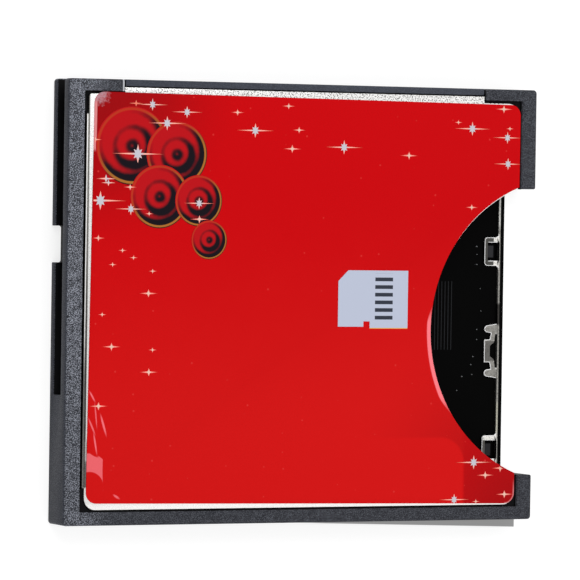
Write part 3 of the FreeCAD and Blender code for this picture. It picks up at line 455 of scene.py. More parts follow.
@dataclass(frozen=True)
class MouldedPlastic(Finish):
    """Plastic from a mould that is spark-eroded outside: grainy charcoal, with the inner walls painted near-black as
    shade.
    """

    # Pale specks where the grain catches the light: painted highlight
    speck: str = "#AAAEBA"
    # Near-black on the inner walls and in the groove: painted shade
    painted_inner_shade: str = "#08080A"
    flank: str = "#32343C"
    flank_specks: float = 0.15
    # A pale line along the seam by the connector block
    seam_line: str = "#B4B6BC"
    seam_line_x: Span = (-16.68, -16.5)
    seam_line_y: float = 17.05
    # Spark-eroded grain is about 0.04 mm wide; drawn coarser so that it shows
    grain_mm: float = 0.073
    grain_depth_mm: float = 0.008
    patch_grains: float = 9.0
    patch_share: float = 0.14
    speck_range: Span = (0.54, 0.71)
    # Share of pale specks, greater towards the left bar and smaller lower down: painted light, the left bar lighter and
    # the lower bar darker
    specks: Span = (0.22, 0.8)
    speck_light_x: Span = (-17.0, -20.2)
    speck_shade_y: Span = (4.0, -14.0)
    speck_shade_low: float = 0.8
    half_width: float = 21.4
    half_depth: float = 18.2
    height: float = 3.3
    # How far inside the outline a face still counts as outside: all round, in front and behind, and on the flank
    round_mm: float = 0.09
    front_mm: float = 0.13
    rear_mm: float = 0.05
    flank_mm: float = 0.08

    def outside(self, paint: Paint) -> Socket:
        """Finds the faces on the adapter's outline, which carry the grain.

        Args:
            paint: the material.

        Returns:
            1 on the outline, 0 on inner walls.
        """
        add = paint.add
        beside = add(Node.ABOVE, add(Node.SIZE, paint.across), (self.half_width - self.round_mm) * MM)
        endways = add(Node.ABOVE, add(Node.SIZE, paint.along), (self.half_depth - self.round_mm) * MM)
        front = add(Node.ABOVE, paint.level, (self.height - self.front_mm) * MM)
        rear = add(Node.BELOW, paint.level, self.rear_mm * MM)
        return add(Node.HIGHEST, add(Node.HIGHEST, beside, endways), add(Node.HIGHEST, front, rear))

    def build(self) -> Material:
        """Grain as colour, roughness and relief on the outside, its pale specks a painted highlight, painted shade on
        the inner walls, and a pale line at the left seam.

        Returns:
            The material.
        """
        paint = self.start(0.08)
        add = paint.add
        grain = add(Node.CLOUDS, paint.place, per(self.grain_mm), 1.0, LAYERS)
        patches = add(Node.CLOUDS, paint.place, per(self.grain_mm * self.patch_grains), 1.0, LAYERS)
        lifted = add(Node.PLUS, grain, add(Node.TIMES, patches, self.patch_share))
        share = add(Node.EASE, lifted, *self.speck_range)
        # More painted highlight on the left bar, less on the lower bar
        most = add(Node.EASE, paint.across, *metres(*self.speck_light_x), *self.specks)
        speck_shade = add(Node.EASE, paint.along, *metres(*self.speck_shade_y), 1.0, self.speck_shade_low)
        most = add(Node.TIMES, most, speck_shade)
        grained = add(Node.MIX, add(Node.TIMES, share, most), self.colour, self.speck)
        beside = add(Node.EASE, paint.across, *step_at(self.flank_mm - self.half_width, -0.02))
        flank = add(Node.MIX, add(Node.TIMES, share, self.flank_specks), self.flank, self.speck)
        grained = add(Node.MIX, beside, grained, flank)
        seam = add(Node.TIMES, paint.band(paint.across, *self.seam_line_x), add(Node.ABOVE, paint.along, self.seam_line_y * MM))
        grained = add(Node.MIX, seam, grained, self.seam_line)
        paint.surface("Roughness", add(Node.EASE, grain, 0.35, 0.7, self.roughness + 0.08, self.roughness - 0.08))
        # The inner walls take the near-black painted shade
        colour = add(Node.MIX, self.outside(paint), self.painted_inner_shade, grained)
        return paint.finished(colour, grain, self.grain_depth_mm, 0.5)


@dataclass(frozen=True)
class PaintedSteelLight:
    """A field of painted light on a cover, between two places across and two along, in millimetres: dark fields are
    painted shade, pale ones painted highlights.
    """

    x: Span
    y: Span
    colour: str
    strength: float = 1.0
    blur: Span = (0.04, 0.05)


@dataclass(frozen=True)
class SatinSteel(Finish):
    """Nickel-plated spring steel sheet, rolled and tumbled: bright, with grey pits, and painted shade and painted
    highlights in bands and fields.
    """

    pit: str = "#4A4845"
    # Pits from tumbling are about 0.05 mm wide; drawn coarser so that they show
    pit_mm: float = 0.11
    pit_range: Span = (0.5, 0.62)
    pits: float = 0.12
    tongue_pits: float = 0.85
    tongue_y: float = 16.95
    # A darker band, on the front cover's left edge and on the rear tabs' tops: painted shade
    dull: str = "#85827E"
    painted_shade_x: Span = (-19.62, -19.49)
    painted_shade_z: Span = (-1.0, -0.9)
    sheared: float = 0.0
    patches: tuple[PaintedSteelLight, ...] = ()
    painted_light_above: float = 0.0

    def build(self) -> Material:
        """Pits as colour and relief on a metal, most on the tongue, then bands of painted shade, fields of painted
        shade and painted highlight, and pale sheared walls.

        Returns:
            The material.
        """
        paint = self.start()
        add = paint.add
        paint.surface("Metallic", 1.0)
        grain = add(Node.CLOUDS, paint.place, per(self.pit_mm), 1.0, LAYERS)
        tongue = add(Node.ABOVE, paint.along, self.tongue_y * MM)
        most = add(Node.EASE, tongue, 0.0, 1.0, self.pits, self.tongue_pits)
        share = add(Node.TIMES, add(Node.EASE, grain, *self.pit_range), most)
        # Bands of painted shade, clouded by the grain
        painted_light = add(Node.HIGHEST, paint.band(paint.across, *self.painted_shade_x), paint.band(paint.level, *self.painted_shade_z, 0.004))
        cloudy = add(Node.TIMES, painted_light, add(Node.EASE, grain, 0.2, 0.8, 0.8, 1.0))
        colour = add(Node.MIX, cloudy, self.colour, self.dull)
        # Fields of painted shade and painted highlight, only above a given height
        inner = add(Node.ABOVE, paint.level, self.painted_light_above * MM)
        for painted_field in self.patches:
            across = add(Node.TIMES, inner, paint.band(paint.across, *painted_field.x, painted_field.blur[0]))
            within = add(Node.TIMES, across, paint.band(paint.along, *painted_field.y, painted_field.blur[1]))
            colour = add(Node.MIX, add(Node.TIMES, within, painted_field.strength), colour, painted_field.colour)
        colour = add(Node.MIX, share, colour, self.pit)
        if self.sheared:
            wall = add(Node.SHEARED)
            colour = add(Node.MIX, add(Node.TIMES, wall, self.sheared), colour, "#FFFFFF")
            paint.surface("Metallic", add(Node.EASE, wall, 0.0, 1.0, 1.0, 1.0 - self.sheared))
        paint.surface("Roughness", add(Node.EASE, grain, 0.3, 0.7, self.roughness - 0.06, self.roughness + 0.12))
        return paint.finished(colour, grain, 0.006, 0.4)


@dataclass(frozen=True)
class PaintedGlint:
    """A painted highlight where the film has lifted or creased: a stretched spot, in millimetres and degrees."""

    x: float
    y: float
    length: float
    width: float
    turn: float
    strength: float
    cut: tuple[PaintedGlint, ...] = ()


@dataclass(frozen=True)
class DeepCorner:
    """Thicker ink towards a corner of the film: full near one place and none far from it, in millimetres."""

    x: float
    y: float
    full: float
    none: float


@dataclass(frozen=True)
class PrintedFilm(Finish):
    """Red polyester film printed and glossed over, with painted highlights where it has lifted and creased and a
    painted reflection at its top-left corner.
    """

    low_colour: str = "#CE1010"
    low_y: Span = (12.0, -9.0)
    low_x: Span = (15.1, 14.7)
    low_share: float = 0.45
    deep_colour: str = "#9A0309"
    deep: tuple[DeepCorner, ...] = (DeepCorner(-19.5, 17.5, 2.0, 14.0), DeepCorner(20.0, -17.0, -4.5, 17.0))
    field: Span = (14.95, -11.2)
    field_corner: float = 2.2
    dust: str = "#DC3A36"
    dust_mm: float = 1.7
    # Colour of the painted highlights
    shine: str = "#FA7C84"
    marks: tuple[PaintedGlint, ...] = ()
    thumb: Round = FILM_THUMB
    lip_mm: float = 0.34
    lip_y: float = -4.68
    lip_half: Span = (4.9, 3.0)
    margin: str = "#E58E90"
    margin_mm: float = 0.22
    margin_from: float = 12.6
    left_edge: Span = (-19.274, 0.0091)
    edge_x: Span = (19.777, 0.0034)
    edge_y: Span = (-16.84, 16.9)
    edge_corner: float = 0.9
    edge_line_mm: float = 0.09
    edge_from: Span = (-14.6, -15.9)
    # A pale, streaky painted reflection at the top-left corner, where the film lifts
    painted_light: str = "#B58F98"
    reflection_at: Span = (-18.7, 16.95)
    reflection_mm: Span = (1.6, 0.9)
    reflection_grain: Span = (0.3, 1.2)
    streak_mm: float = 0.14
    mottle: Span = (3.5, 4.0)
    spot_blur_mm: float = 0.16
    ripple_mm: float = 2.6

    def spots(self, paint: Paint, marks: tuple[PaintedGlint, ...]) -> Socket | float:
        """Adds up stretched spots.

        Args:
            paint: the material.
            marks: the spots.

        Returns:
            How much of each point they cover.
        """
        total: Socket | float = 0.0
        for mark in marks:
            moved = paint.add(
                Node.SPOT, paint.place, metres(mark.x, mark.y, PRINT_LEVEL), (0.0, 0.0, math.radians(mark.turn)),
                (mark.length * MM / 2, mark.width * MM / 2, 1.0),
            )
            soft = max(0.35, 1.0 - self.spot_blur_mm / min(mark.length, mark.width))
            spot = paint.add(Node.EASE, paint.add(Node.LENGTH, moved), 1.0, soft, 0.0, mark.strength)
            if mark.cut:
                spot = paint.add(Node.TIMES, spot, paint.add(Node.MINUS, 1.0, self.spots(paint, mark.cut)))
            total = paint.add(Node.HIGHEST, spot, total)
        return total

    def lip_highlight(self, paint: Paint) -> Socket:
        """The painted highlight along the thumb cut-out, where the film turns down.

        Args:
            paint: the material.

        Returns:
            How much of each point takes the painted highlight.
        """
        add = paint.add
        flat = add(Node.FLATTEN, paint.place, (1.0, 1.0, 0.0))
        far = add(Node.DISTANCE, flat, metres(self.thumb.x, self.thumb.y, 0.0))
        middle = add(Node.SIZE, add(Node.MINUS, paint.along, self.lip_y * MM))
        inside = add(Node.EASE, middle, *metres(*self.lip_half))
        edge = add(Node.PLUS, self.thumb.radius * MM, add(Node.TIMES, inside, self.lip_mm * MM))
        near = add(Node.EASE, add(Node.MINUS, edge, far), *step_at(0.0, 0.05))
        return add(Node.TIMES, near, inside)

    def edge_share(self, paint: Paint) -> Socket:
        """The thin pale line round the film's lower right corner.

        Args:
            paint: the material.

        Returns:
            How much of each point lies on the line.
        """
        add = paint.add
        corner = self.edge_corner * MM
        upright = add(Node.MINUS, paint.across, add(Node.TIMES, paint.along, self.edge_x[1]))
        across = add(Node.MINUS, upright, self.edge_x[0] * MM - corner)
        middle = (self.edge_y[0] + self.edge_y[1]) / 2 * MM
        half = (self.edge_y[1] - self.edge_y[0]) / 2 * MM - corner
        along = add(Node.MINUS, add(Node.SIZE, add(Node.MINUS, paint.along, middle)), half)
        far = paint.from_corner(across, along)
        line = add(Node.EASE, far, *step_at(self.edge_corner - self.edge_line_mm, 0.02))
        beside = add(Node.TIMES, line, add(Node.ABOVE, across, 0.0))
        return add(Node.TIMES, beside, add(Node.EASE, paint.along, *metres(*self.edge_from)))

    def print_colour(self, paint: Paint) -> Socket:
        """The red print: warmer low down, deeper towards two corners, with a few specks of printed dust.

        Args:
            paint: the material.

        Returns:
            Its colour.
        """
        add = paint.add
        mottle = add(Node.TIMES, add(Node.CLOUDS, paint.place, per(self.mottle[0]), 3.0, LAYERS), self.mottle[1] * MM)
        low = add(Node.EASE, add(Node.PLUS, paint.along, mottle), *metres(*self.low_y))
        left = add(Node.EASE, paint.across, *metres(*self.low_x), self.low_share, 1.0)
        colour = add(Node.MIX, add(Node.TIMES, low, left), self.colour, self.low_colour)
        across = add(Node.MINUS, paint.across, (self.field[0] - self.field_corner) * MM)
        along = add(Node.MINUS, paint.along, (self.field[1] - self.field_corner) * MM)
        far = paint.from_corner(across, along)
        beyond = add(Node.EASE, far, *step_at(self.field_corner, 0.15))
        for deep in self.deep:
            far = add(Node.DISTANCE, paint.place, metres(deep.x, deep.y, PRINT_LEVEL))
            near = add(Node.EASE, far, *metres(deep.none, deep.full))
            colour = add(Node.MIX, add(Node.TIMES, near, beyond), colour, self.deep_colour)
        cells = add(Node.CELLS, paint.place, per(self.dust_mm))
        reach = add(Node.EASE, add(Node.RED, cells), 0.7, 1.0, 0.0, 0.05)
        point = add(Node.EASE, add(Node.MINUS, reach, cells.node.outputs["Distance"]), -0.01, 0.012, 0.0, 0.6)
        return add(Node.MIX, point, colour, self.dust)

    def build(self) -> Material:
        """Print, painted highlights, clear margins and the painted reflection at the top-left corner.

        Returns:
            The material.
        """
        paint = self.start(0.05)
        add = paint.add
        # Painted highlights: the creased spots and the strip along the cut-out
        painted_highlight = add(Node.HIGHEST, self.spots(paint, self.marks), self.lip_highlight(paint))
        colour = add(Node.MIX, painted_highlight, self.print_colour(paint), self.shine)

        lean = add(Node.PLUS, self.left_edge[0] * MM, add(Node.TIMES, paint.along, self.left_edge[1]))
        inward = add(Node.MINUS, paint.across, lean)
        clear = add(Node.EASE, inward, *step_at(self.margin_mm, -0.04), 0.0, 0.9)
        high = add(Node.EASE, paint.along, *metres(self.margin_from - 0.4, self.margin_from))
        colour = add(Node.MIX, add(Node.TIMES, clear, high), colour, self.margin)
        colour = add(Node.MIX, add(Node.TIMES, self.edge_share(paint), 0.6), colour, self.margin)

        # The painted reflection at the top-left corner, ragged and streaky
        grain, reach = self.reflection_grain
        rough = add(Node.TIMES, add(Node.CLOUDS, paint.place, per(grain), 3.0, LAYERS), reach * MM)
        ragged = add(Node.PLUS, add(Node.DISTANCE, paint.place, metres(*self.reflection_at, PRINT_LEVEL)), rough)
        corner_reflection = add(Node.EASE, ragged, *metres(*self.reflection_mm), 0.0, 0.9)
        streaks = add(Node.EASE, add(Node.CLOUDS, paint.place, per(self.streak_mm), 1.0, LAYERS), 0.42, 0.6)
        streaky_reflection = add(Node.MIX, 0.3, self.painted_light, add(Node.MIX, streaks, self.painted_light, self.colour))
        colour = add(Node.MIX, corner_reflection, colour, streaky_reflection)
        return paint.finished(colour, add(Node.CLOUDS, paint.place, per(self.ripple_mm), 2.0, LAYERS), 0.02, 0.25)


@dataclass(frozen=True)
class ScreenInk(Finish):
    """Opaque ink pressed through a screen, whose threads leave a faint trace in its face."""

    # The threads lie about 0.1 mm apart; their trace is drawn coarser so that it shows
    screen_mm: float = 0.15
    relief_mm: float = 0.003

    def printed(self, paint: Paint, colour: Socket) -> Material:
        """Gives the ink its colour and the trace of the screen.

        Args:
            paint: the material.
            colour: colour all over the print.

        Returns:
            The material.
        """
        trace = paint.add(Node.CLOUDS, paint.place, per(self.screen_mm), 2.0, LAYERS)
        return paint.finished(colour, trace, self.relief_mm, 0.2)


@dataclass(frozen=True)
class SymbolInk(ScreenInk):
    """Pale ink with slate bars and a thin line of orange along its foot."""

    screen_mm: float = 0.2
    relief_mm: float = 0.004
    bar: str = "#2F3440"
    line: str = "#E9A23A"
    bars_x: Span = (6.4, 8.05)
    bars_y: Span = (-1.3, 2.55)
    bar_pitch: float = 0.64
    bar_share: float = 0.5
    foot_y: float = -2.0

    def build(self) -> Material:
        """Bars and line over the pale ink.

        Returns:
            The material.
        """
        paint = self.start(0.15)
        add = paint.add
        from_foot = add(Node.MINUS, paint.along, self.bars_y[0] * MM)
        step = add(Node.REST, add(Node.OVER, from_foot, self.bar_pitch * MM))
        off_middle = add(Node.SIZE, add(Node.MINUS, step, self.bar_share / 2))
        bar = add(Node.EASE, off_middle, self.bar_share / 2 + 0.04, self.bar_share / 2 - 0.04)
        within = add(Node.TIMES, paint.band(paint.across, *self.bars_x), paint.band(paint.along, *self.bars_y))
        colour = add(Node.MIX, add(Node.TIMES, bar, within), self.colour, self.bar)
        foot = add(Node.EASE, paint.along, *step_at(self.foot_y, -0.03))
        return self.printed(paint, add(Node.MIX, foot, colour, self.line))


@dataclass(frozen=True)
class SparkleInk(ScreenInk):
    """Bluish-white ink, creamier in the small sparkles, whose flares thin out into the red."""

    cream: str = "#E8C0AE"
    near: tuple[str, str] = ("#FFB4A4", "#FF9486")
    far: tuple[str, str] = ("#F07C64", "#E8483C")

    def build(self) -> Material:
        """Colour that warms along each flare.

        Returns:
            The material.
        """
        paint = self.start(0.15)
        add = paint.add
        out, little = add(Node.FLARE), add(Node.LITTLE)
        core = add(Node.MIX, little, self.colour, self.cream)
        warm = add(Node.MIX, add(Node.EASE, out, 0.0, 0.22), core, add(Node.MIX, little, *self.near))
        colour = add(Node.MIX, add(Node.EASE, out, 0.25, 0.9), warm, add(Node.MIX, little, *self.far))
        return self.printed(paint, colour)


@dataclass(frozen=True)
class WaveInk(ScreenInk):
    """Overlapping discs of ink like scales, each shaded from crimson to near-black, with fine gold rims."""

    dark: str = "#120B14"
    gold: str = "#B9772F"
    ripples: float = 2.6
    ripple_depth: float = 0.42
    towards: Span = (0.62, -0.78)
    rim_at: float = 0.94
    cloud_mm: float = 0.9
    rings: tuple[Round, ...] = ()

    def build(self) -> Material:
        """Shades each disc across itself, with the later discs lying over the earlier ones.

        Returns:
            The material.
        """
        paint = self.start(0.08)
        add = paint.add
        flat = add(Node.FLATTEN, paint.place, (1.0, 1.0, 0.0))
        share: Socket | float = 1.0
        shade: Socket | float = 0.0
        for ring in self.rings:
            size = per(ring.radius)
            apart = add(Node.STEPS, flat, metres(ring.x, ring.y, 0.0))
            own = add(Node.TIMES, add(Node.LENGTH, apart), size)
            tilt = add(Node.TOWARDS, apart, (self.towards[0] * size, self.towards[1] * size, 0.0))
            inside = add(Node.BELOW, own, 1.0)
            share = add(Node.SWITCH, inside, share, own)
            shade = add(Node.SWITCH, inside, shade, tilt)
        ripple = add(Node.SINE, add(Node.TIMES, share, self.ripples * 2 * math.pi))
        depth = add(Node.PLUS, shade, add(Node.TIMES, ripple, self.ripple_depth))
        cloud = add(Node.CLOUDS, paint.place, per(self.cloud_mm), 3.0, LAYERS)
        depth = add(Node.PLUS, depth, add(Node.TIMES, cloud, 0.5))
        colour = add(Node.MIX, add(Node.EASE, depth, -0.2, 0.75), self.colour, self.dark)
        rim = add(Node.EASE, add(Node.SIZE, add(Node.MINUS, share, self.rim_at)), 0.045, 0.02)
        lit = add(Node.TIMES, rim, add(Node.EASE, shade, -0.6, 0.5, 0.15, 0.8))
        return self.printed(paint, add(Node.MIX, lit, colour, self.gold))


@dataclass(frozen=True)
class LinerFilm(Finish):
    """Black slippery film on the slot's floor, with painted highlights on its rib tops and pegs."""

    rib: str = "#262729"
    rib_level: float = 0.412
    peg_highlight: str = "#313133"
    peg_level: float = 0.447
    lump_mm: float = 0.5

    def build(self) -> Material:
        """Painted highlights on rib tops and pegs over black, told by their height.

        Returns:
            The material.
        """
        paint = self.start(0.02)
        colour: Socket | str = self.colour
        for height, tone in ((self.rib_level, self.rib), (self.peg_level, self.peg_highlight)):
            top = paint.add(Node.EASE, paint.level, *step_at(height, 0.004))
            colour = paint.add(Node.MIX, top, colour, tone)
        lumps = paint.add(Node.CLOUDS, paint.place, per(self.lump_mm), 3.0, LAYERS)
        return paint.finished(colour, lumps, 0.01, 0.3)


@dataclass(frozen=True)
class PlatedMetal(Finish):
    """Plated copper alloy or steel strip, stamped and bent."""

    # Rolling marks are a few hundredths of a millimetre wide; drawn coarser so that they show
    grain_mm: float = 0.25
    stretch: float = 6.0

    def build(self) -> Material:
        """Fine rolling marks on a metal.

        Returns:
            The material.
        """
        paint = self.start()
        paint.surface("Metallic", 1.0)
        stretched = paint.add(Node.STRETCH, paint.place, (1.0, self.stretch, self.stretch))
        lines = paint.add(Node.CLOUDS, stretched, per(self.grain_mm), 2.0, LAYERS)
        smooth = paint.add(Node.EASE, lines, 0.3, 0.7, self.roughness - 0.07, self.roughness + 0.1)
        paint.surface("Roughness", smooth)
        return paint.finished(self.colour, lines, 0.003, 0.3)


@dataclass(frozen=True)
class CloudySolid(Finish):
    """A dull moulded, laminated or fired body with a slightly uneven tone."""

    second: str = "#202020"
    lump_mm: float = 0.3

    def build(self) -> Material:
        """Two close tones in lumps, and a little relief.

        Returns:
            The material.
        """
        paint = self.start()
        lumps = paint.add(Node.CLOUDS, paint.place, per(self.lump_mm), 3.0, LAYERS)
        colour = paint.add(Node.MIX, paint.add(Node.EASE, lumps, 0.35, 0.7), self.colour, self.second)
        return paint.finished(colour, lumps, 0.01, 0.3)


@dataclass
class MouldedBody:
    """The rim and the connector housing, both moulded."""

    edge_mm: float = 0.035
    strips: int = 2

    def build(self) -> None:
        """Makes both mouldings from their nodes and dresses them."""
        # ABS and PC blend from a spark-eroded mould: charcoal, grainy, with pale points where light catches
        grainy = MouldedPlastic("moulded_abs_grained", "#292A2F", 0.5).build()
        # Glass-filled nylon, moulded smoother: the same charcoal with hardly any grain
        smooth = MouldedPlastic(
            "moulded_nylon_smooth", "#3B3E46", 0.46, speck="#5E626E", grain_depth_mm=0.004, specks=(0.5, 0.5)
        ).build()
        self.mould("frame", "moulded_rim", grainy, Slot.FRAME)
        self.mould("connector_housing", "moulded_housing", smooth, Slot.HOUSING)

    def mould(self, node: str, name: str, material: Material, slot: Slot) -> None:
        """Rounds the edges of one moulding.

        Args:
            node: node that it stands for.
            name: name of the piece.
            material: its finish.
            slot: the record's material slot.
        """
        piece = copy_of_node(node, name)
        soften_edges(piece, self.edge_mm, self.strips)
        finish_piece(piece, material, slot, Shading.MOULDED, node)


@dataclass
class SteelCovers:
    """The two pressed covers."""

    front_edge_mm: float = 0.025
    rear_edge_mm: float = 0.055
    strips: int = 2
    hem_x: float = 19.25
    rim_rise: Span = (0.2, 0.93)
    rim_right: float = 0.12
    rear_fall: float = -0.99
    # Painted shade and painted highlights on the front cover's left edge, lower left corner and the cut-out's lower rim
    front_painted_light: tuple[PaintedSteelLight, ...] = (
        PaintedSteelLight((11.0, 20.5), (-15.5, -7.0), "#3A2624", 0.85, (0.6, 0.6)),
        PaintedSteelLight((-20.6, -19.745), (-30.0, 30.0), "#1C1A18", 1.0, (0.012, 1.0)),
        PaintedSteelLight((-19.745, -19.62), (-30.0, -4.0), "#64615D", 1.0, (0.02, 3.0)),
        PaintedSteelLight((-19.62, -19.49), (-30.0, 2.0), "#5A5855", 0.8, (0.02, 4.0)),
        PaintedSteelLight((-19.55, -19.2), (-15.1, -12.9), "#74726F", 1.0, (0.03, 0.12)),
        PaintedSteelLight((-19.55, -19.2), (-12.9, -11.2), "#C0BEBB", 1.0, (0.03, 0.3)),
        PaintedSteelLight((-19.65, -19.0), (-30.0, -15.1), "#FBFAF8", 1.0, (0.01, 0.06)),
    )
    # Painted shade and painted highlights on the tabs and the hem
    rear_painted_light: tuple[PaintedSteelLight, ...] = (
        PaintedSteelLight((17.5, 18.8), (2.9, 6.0), "#545350"),
        PaintedSteelLight((17.5, 18.3), (-13.3, -11.6), "#5C5A57"),
        PaintedSteelLight((17.5, 19.15), (-4.85, -3.15), "#6C6A67"),
        PaintedSteelLight((17.5, 19.15), (-6.6, -4.95), "#96948F"),
        PaintedSteelLight((17.5, 19.15), (-3.05, -1.4), "#96948F"),
        PaintedSteelLight((19.15, 19.7), (-1.8, 0.05), "#3C3A38", 1.0, (0.02, 0.15)),
        PaintedSteelLight((19.15, 19.7), (6.6, 12.0), "#C8C7C2", 1.0, (0.02, 0.3)),
        PaintedSteelLight((19.15, 19.7), (-11.0, -8.4), "#BAB7A9", 1.0, (0.02, 0.3)),
    )

    def build(self) -> None:
        """Makes both covers from their nodes and dresses them."""
        # Nickel-plated spring steel, tumbled: a bright satin with grey pits, worst on the tongue, with painted shade on
        # the left edge and fields of painted shade and painted highlight
        bright = SatinSteel("plated_steel_satin", "#FBFAF8", 0.3, patches=self.front_painted_light).build()
        # The same steel on the hem and clip, with painted shade on the tab tops and fields of painted shade and painted
        # highlight; its sheared edges stay bright
        painted_light_steel = SatinSteel(
            "plated_steel_painted_light", "#F0EEE8", 0.34, pits=0.35, dull="#8A8883", painted_shade_x=(-30.0, -29.9),
            painted_shade_z=(0.584, 0.604), sheared=0.9, patches=self.rear_painted_light, painted_light_above=0.31,
        ).build()
        front = copy_of_node("front_cover", "front_sheet")
        refit_round(front, SOLID_COVER_THUMB, COVER_THUMB)
        self.press(front, self.front_edge_mm, bright, "front_cover")
        rear = copy_of_node("rear_cover", "rear_sheet")
        self.press(rear, self.rear_edge_mm, painted_light_steel, "rear_cover")
        self.keep_rear_flat(rear)

    def press(self, piece: Piece, edge_mm: float, steel: Material, node: str) -> None:
        """Rounds the pressed edges of a cover and dresses it.

        Args:
            piece: the cover.
            edge_mm: width of its rounds in millimetres.
            steel: its finish.
            node: node that it stands for.
        """
        soften_edges(piece, edge_mm, self.strips)
        self.note_sheared(piece)
        finish_piece(piece, steel, Slot.STEEL, Shading.MOULDED, node)

    def note_sheared(self, piece: Piece) -> None:
        """Marks the burnished rims round the tabs of a sheet.

        Args:
            piece: one of the covers.
        """
        note = piece.data.attributes.new("sheared", "FLOAT", "FACE")
        low, high = self.rim_rise
        for face in piece.data.polygons:
            rim = low < face.normal.z < high and face.normal.x < self.rim_right
            note.data[face.index].value = float(rim and face.center.x < self.hem_x * MM)

    def keep_rear_flat(self, piece: Piece) -> None:
        """Creases the rim of the broad rear face, so that its shading stays even.

        Args:
            piece: the rear sheet, already shaded.
        """
        rim = {key for face in piece.data.polygons if face.normal.z < self.rear_fall for key in face.edge_keys}
        for edge in piece.data.edges:
            if edge.key in rim:
                edge.use_edge_sharp = True


@dataclass
class PrintedFront:
    """The film on the front cover and the inks printed on it."""

    edge_mm: float = 0.02
    edge_over: float = 60.0
    strips: int = 2
    left_end: float = -18.0
    left_slide: Span = (-0.062, -0.0015)
    little_mm: float = 1.0
    cut_x: float = -19.0
    least_rise_mm: float = 0.1
    flare: Span = (0.3, 1.4)
    spike: Span = (0.5, 0.7)
    rings: tuple[Round, ...] = (
        Round(-15.79, 12.81, 3.2), Round(-11.81, 12.19, 2.7), Round(-13.31, 8.7, 2.6), Round(-9.8, 8.41, 2.1),
        Round(-8.82, 5.2, 1.6),
    )
    # Painted highlights where the film has lifted and creased
    marks: tuple[PaintedGlint, ...] = (
        PaintedGlint(-19.0, -7.65, 1.3, 0.2, -60.0, 0.8),
        PaintedGlint(-18.66, -9.2, 2.6, 0.15, -84.0, 0.7),
        PaintedGlint(-17.98, -10.0, 2.3, 0.24, -73.0, 0.85),
        PaintedGlint(-19.0, -10.1, 1.9, 0.2, -66.0, 0.7),
        PaintedGlint(-18.68, -11.5, 2.3, 0.2, -80.0, 0.8),
        PaintedGlint(-19.25, -14.1, 3.7, 3.7, 0.0, 0.62, (
            PaintedGlint(-19.15, -15.05, 2.6, 2.6, 0.0, 1.0),
            PaintedGlint(-13.95, -13.5, 8.2, 20.0, 0.0, 1.0),
            PaintedGlint(-18.87, -12.27, 1.4, 0.42, -32.0, 1.0),
        )),
        PaintedGlint(-16.75, -15.85, 0.85, 0.25, -32.0, 0.7),
    )

    def build(self) -> None:
        """Makes the film, the sparkles, the symbol and the rings."""
        # Red polyester film, screen printed and glossed over
        film = PrintedFilm("printed_polyester_red", "#C60007", 0.45, marks=self.marks).build()
        piece = copy_of_node("front_label", "label_film")
        refit_round(piece, SOLID_FILM_THUMB, FILM_THUMB)
        slide_left_end(piece, self.left_end, *self.left_slide)
        soften_edges(piece, self.edge_mm, self.strips, self.edge_over)
        finish_piece(piece, film, Slot.FILM, Shading.MOULDED, "front_label")
        self.sparkles()
        # Opaque screen ink, pale blue-white, with generic slate bars
        dress_node("card_symbol", SymbolInk("screen_ink_pale", "#B9C0D3", 0.5).build())
        # Screen inks in crimson, near-black and gold
        dress_node("wave_print", WaveInk("screen_ink_rings", "#B80A14", 0.45, rings=self.rings).build())

    def sparkles(self) -> None:
        """Makes the sparkles, each with a note of how far out on its flare a point lies."""
        piece = copy_of_node("sparkle_print", "sparkle_inks")
        self.note_flares(piece)
        # Opaque bluish-white screen ink that thins to salmon along the flares
        ink = SparkleInk("screen_ink_sparkle", "#C4C3CC", 0.5).build()
        finish_piece(piece, ink, Slot.SPARKLE, Shading.FLAT, "sparkle_print")

    def shells(self, mesh: bpy.types.Mesh) -> list[list[bpy.types.MeshVertex]]:
        """Sorts the points of a mesh by the separate shell that they belong to.

        Args:
            mesh: mesh of several shells.

        Returns:
            The points of each shell.
        """
        group = list(range(len(mesh.vertices)))

        def root(index: int) -> int:
            """Follows a point to the first one of its shell.

            Args:
                index: number of the point.

            Returns:
                Number of the shell's first point.
            """
            while group[index] != index:
                index = group[index]
            return index

        for edge in mesh.edges:
            first, second = root(edge.vertices[0]), root(edge.vertices[1])
            group[max(first, second)] = min(first, second)
        sorted_out: dict[int, list[bpy.types.MeshVertex]] = {}
        for vertex in mesh.vertices:
            sorted_out.setdefault(root(vertex.index), []).append(vertex)
        return list(sorted_out.values())

    def note_flares(self, piece: Piece) -> None:
        """Writes how far out on its flare each point lies, and which sparkles are little.

        Args:
            piece: the sparkles, as separate shells of one mesh.
        """
        note = piece.data.attributes.new("flare", "FLOAT", "POINT")
        little = piece.data.attributes.new("little", "FLOAT", "POINT")
        for points in self.shells(piece.data):
            sides = [pick(points, key=lambda point: point.co.x).co for pick in (min, max)]
            # A sparkle that the film's left edge cuts keeps only its right tip
            end = sides[1] if sides[0].x < self.cut_x * MM else sides[0]
            pole = max(points, key=lambda point: abs(point.co.y - end.y)).co
            rise = max(abs(pole.y - end.y), self.least_rise_mm * MM)
            reach = max(abs(side.x - pole.x) for side in sides)
            for point in points:
                out = (abs(point.co.x - pole.x) - rise * self.flare[0]) / (rise * self.flare[1])
                up = (abs(point.co.y - end.y) / rise - self.spike[0]) * self.spike[1]
                note.data[point.index].value = min(1.0, max(0.0, out, up))
                little.data[point.index].value = float(reach < self.little_mm * MM)


@dataclass(frozen=True)
class DustSpeck:
    """A grain of lint on the slot's floor, in millimetres."""

    x: float
    y: float
    size: float


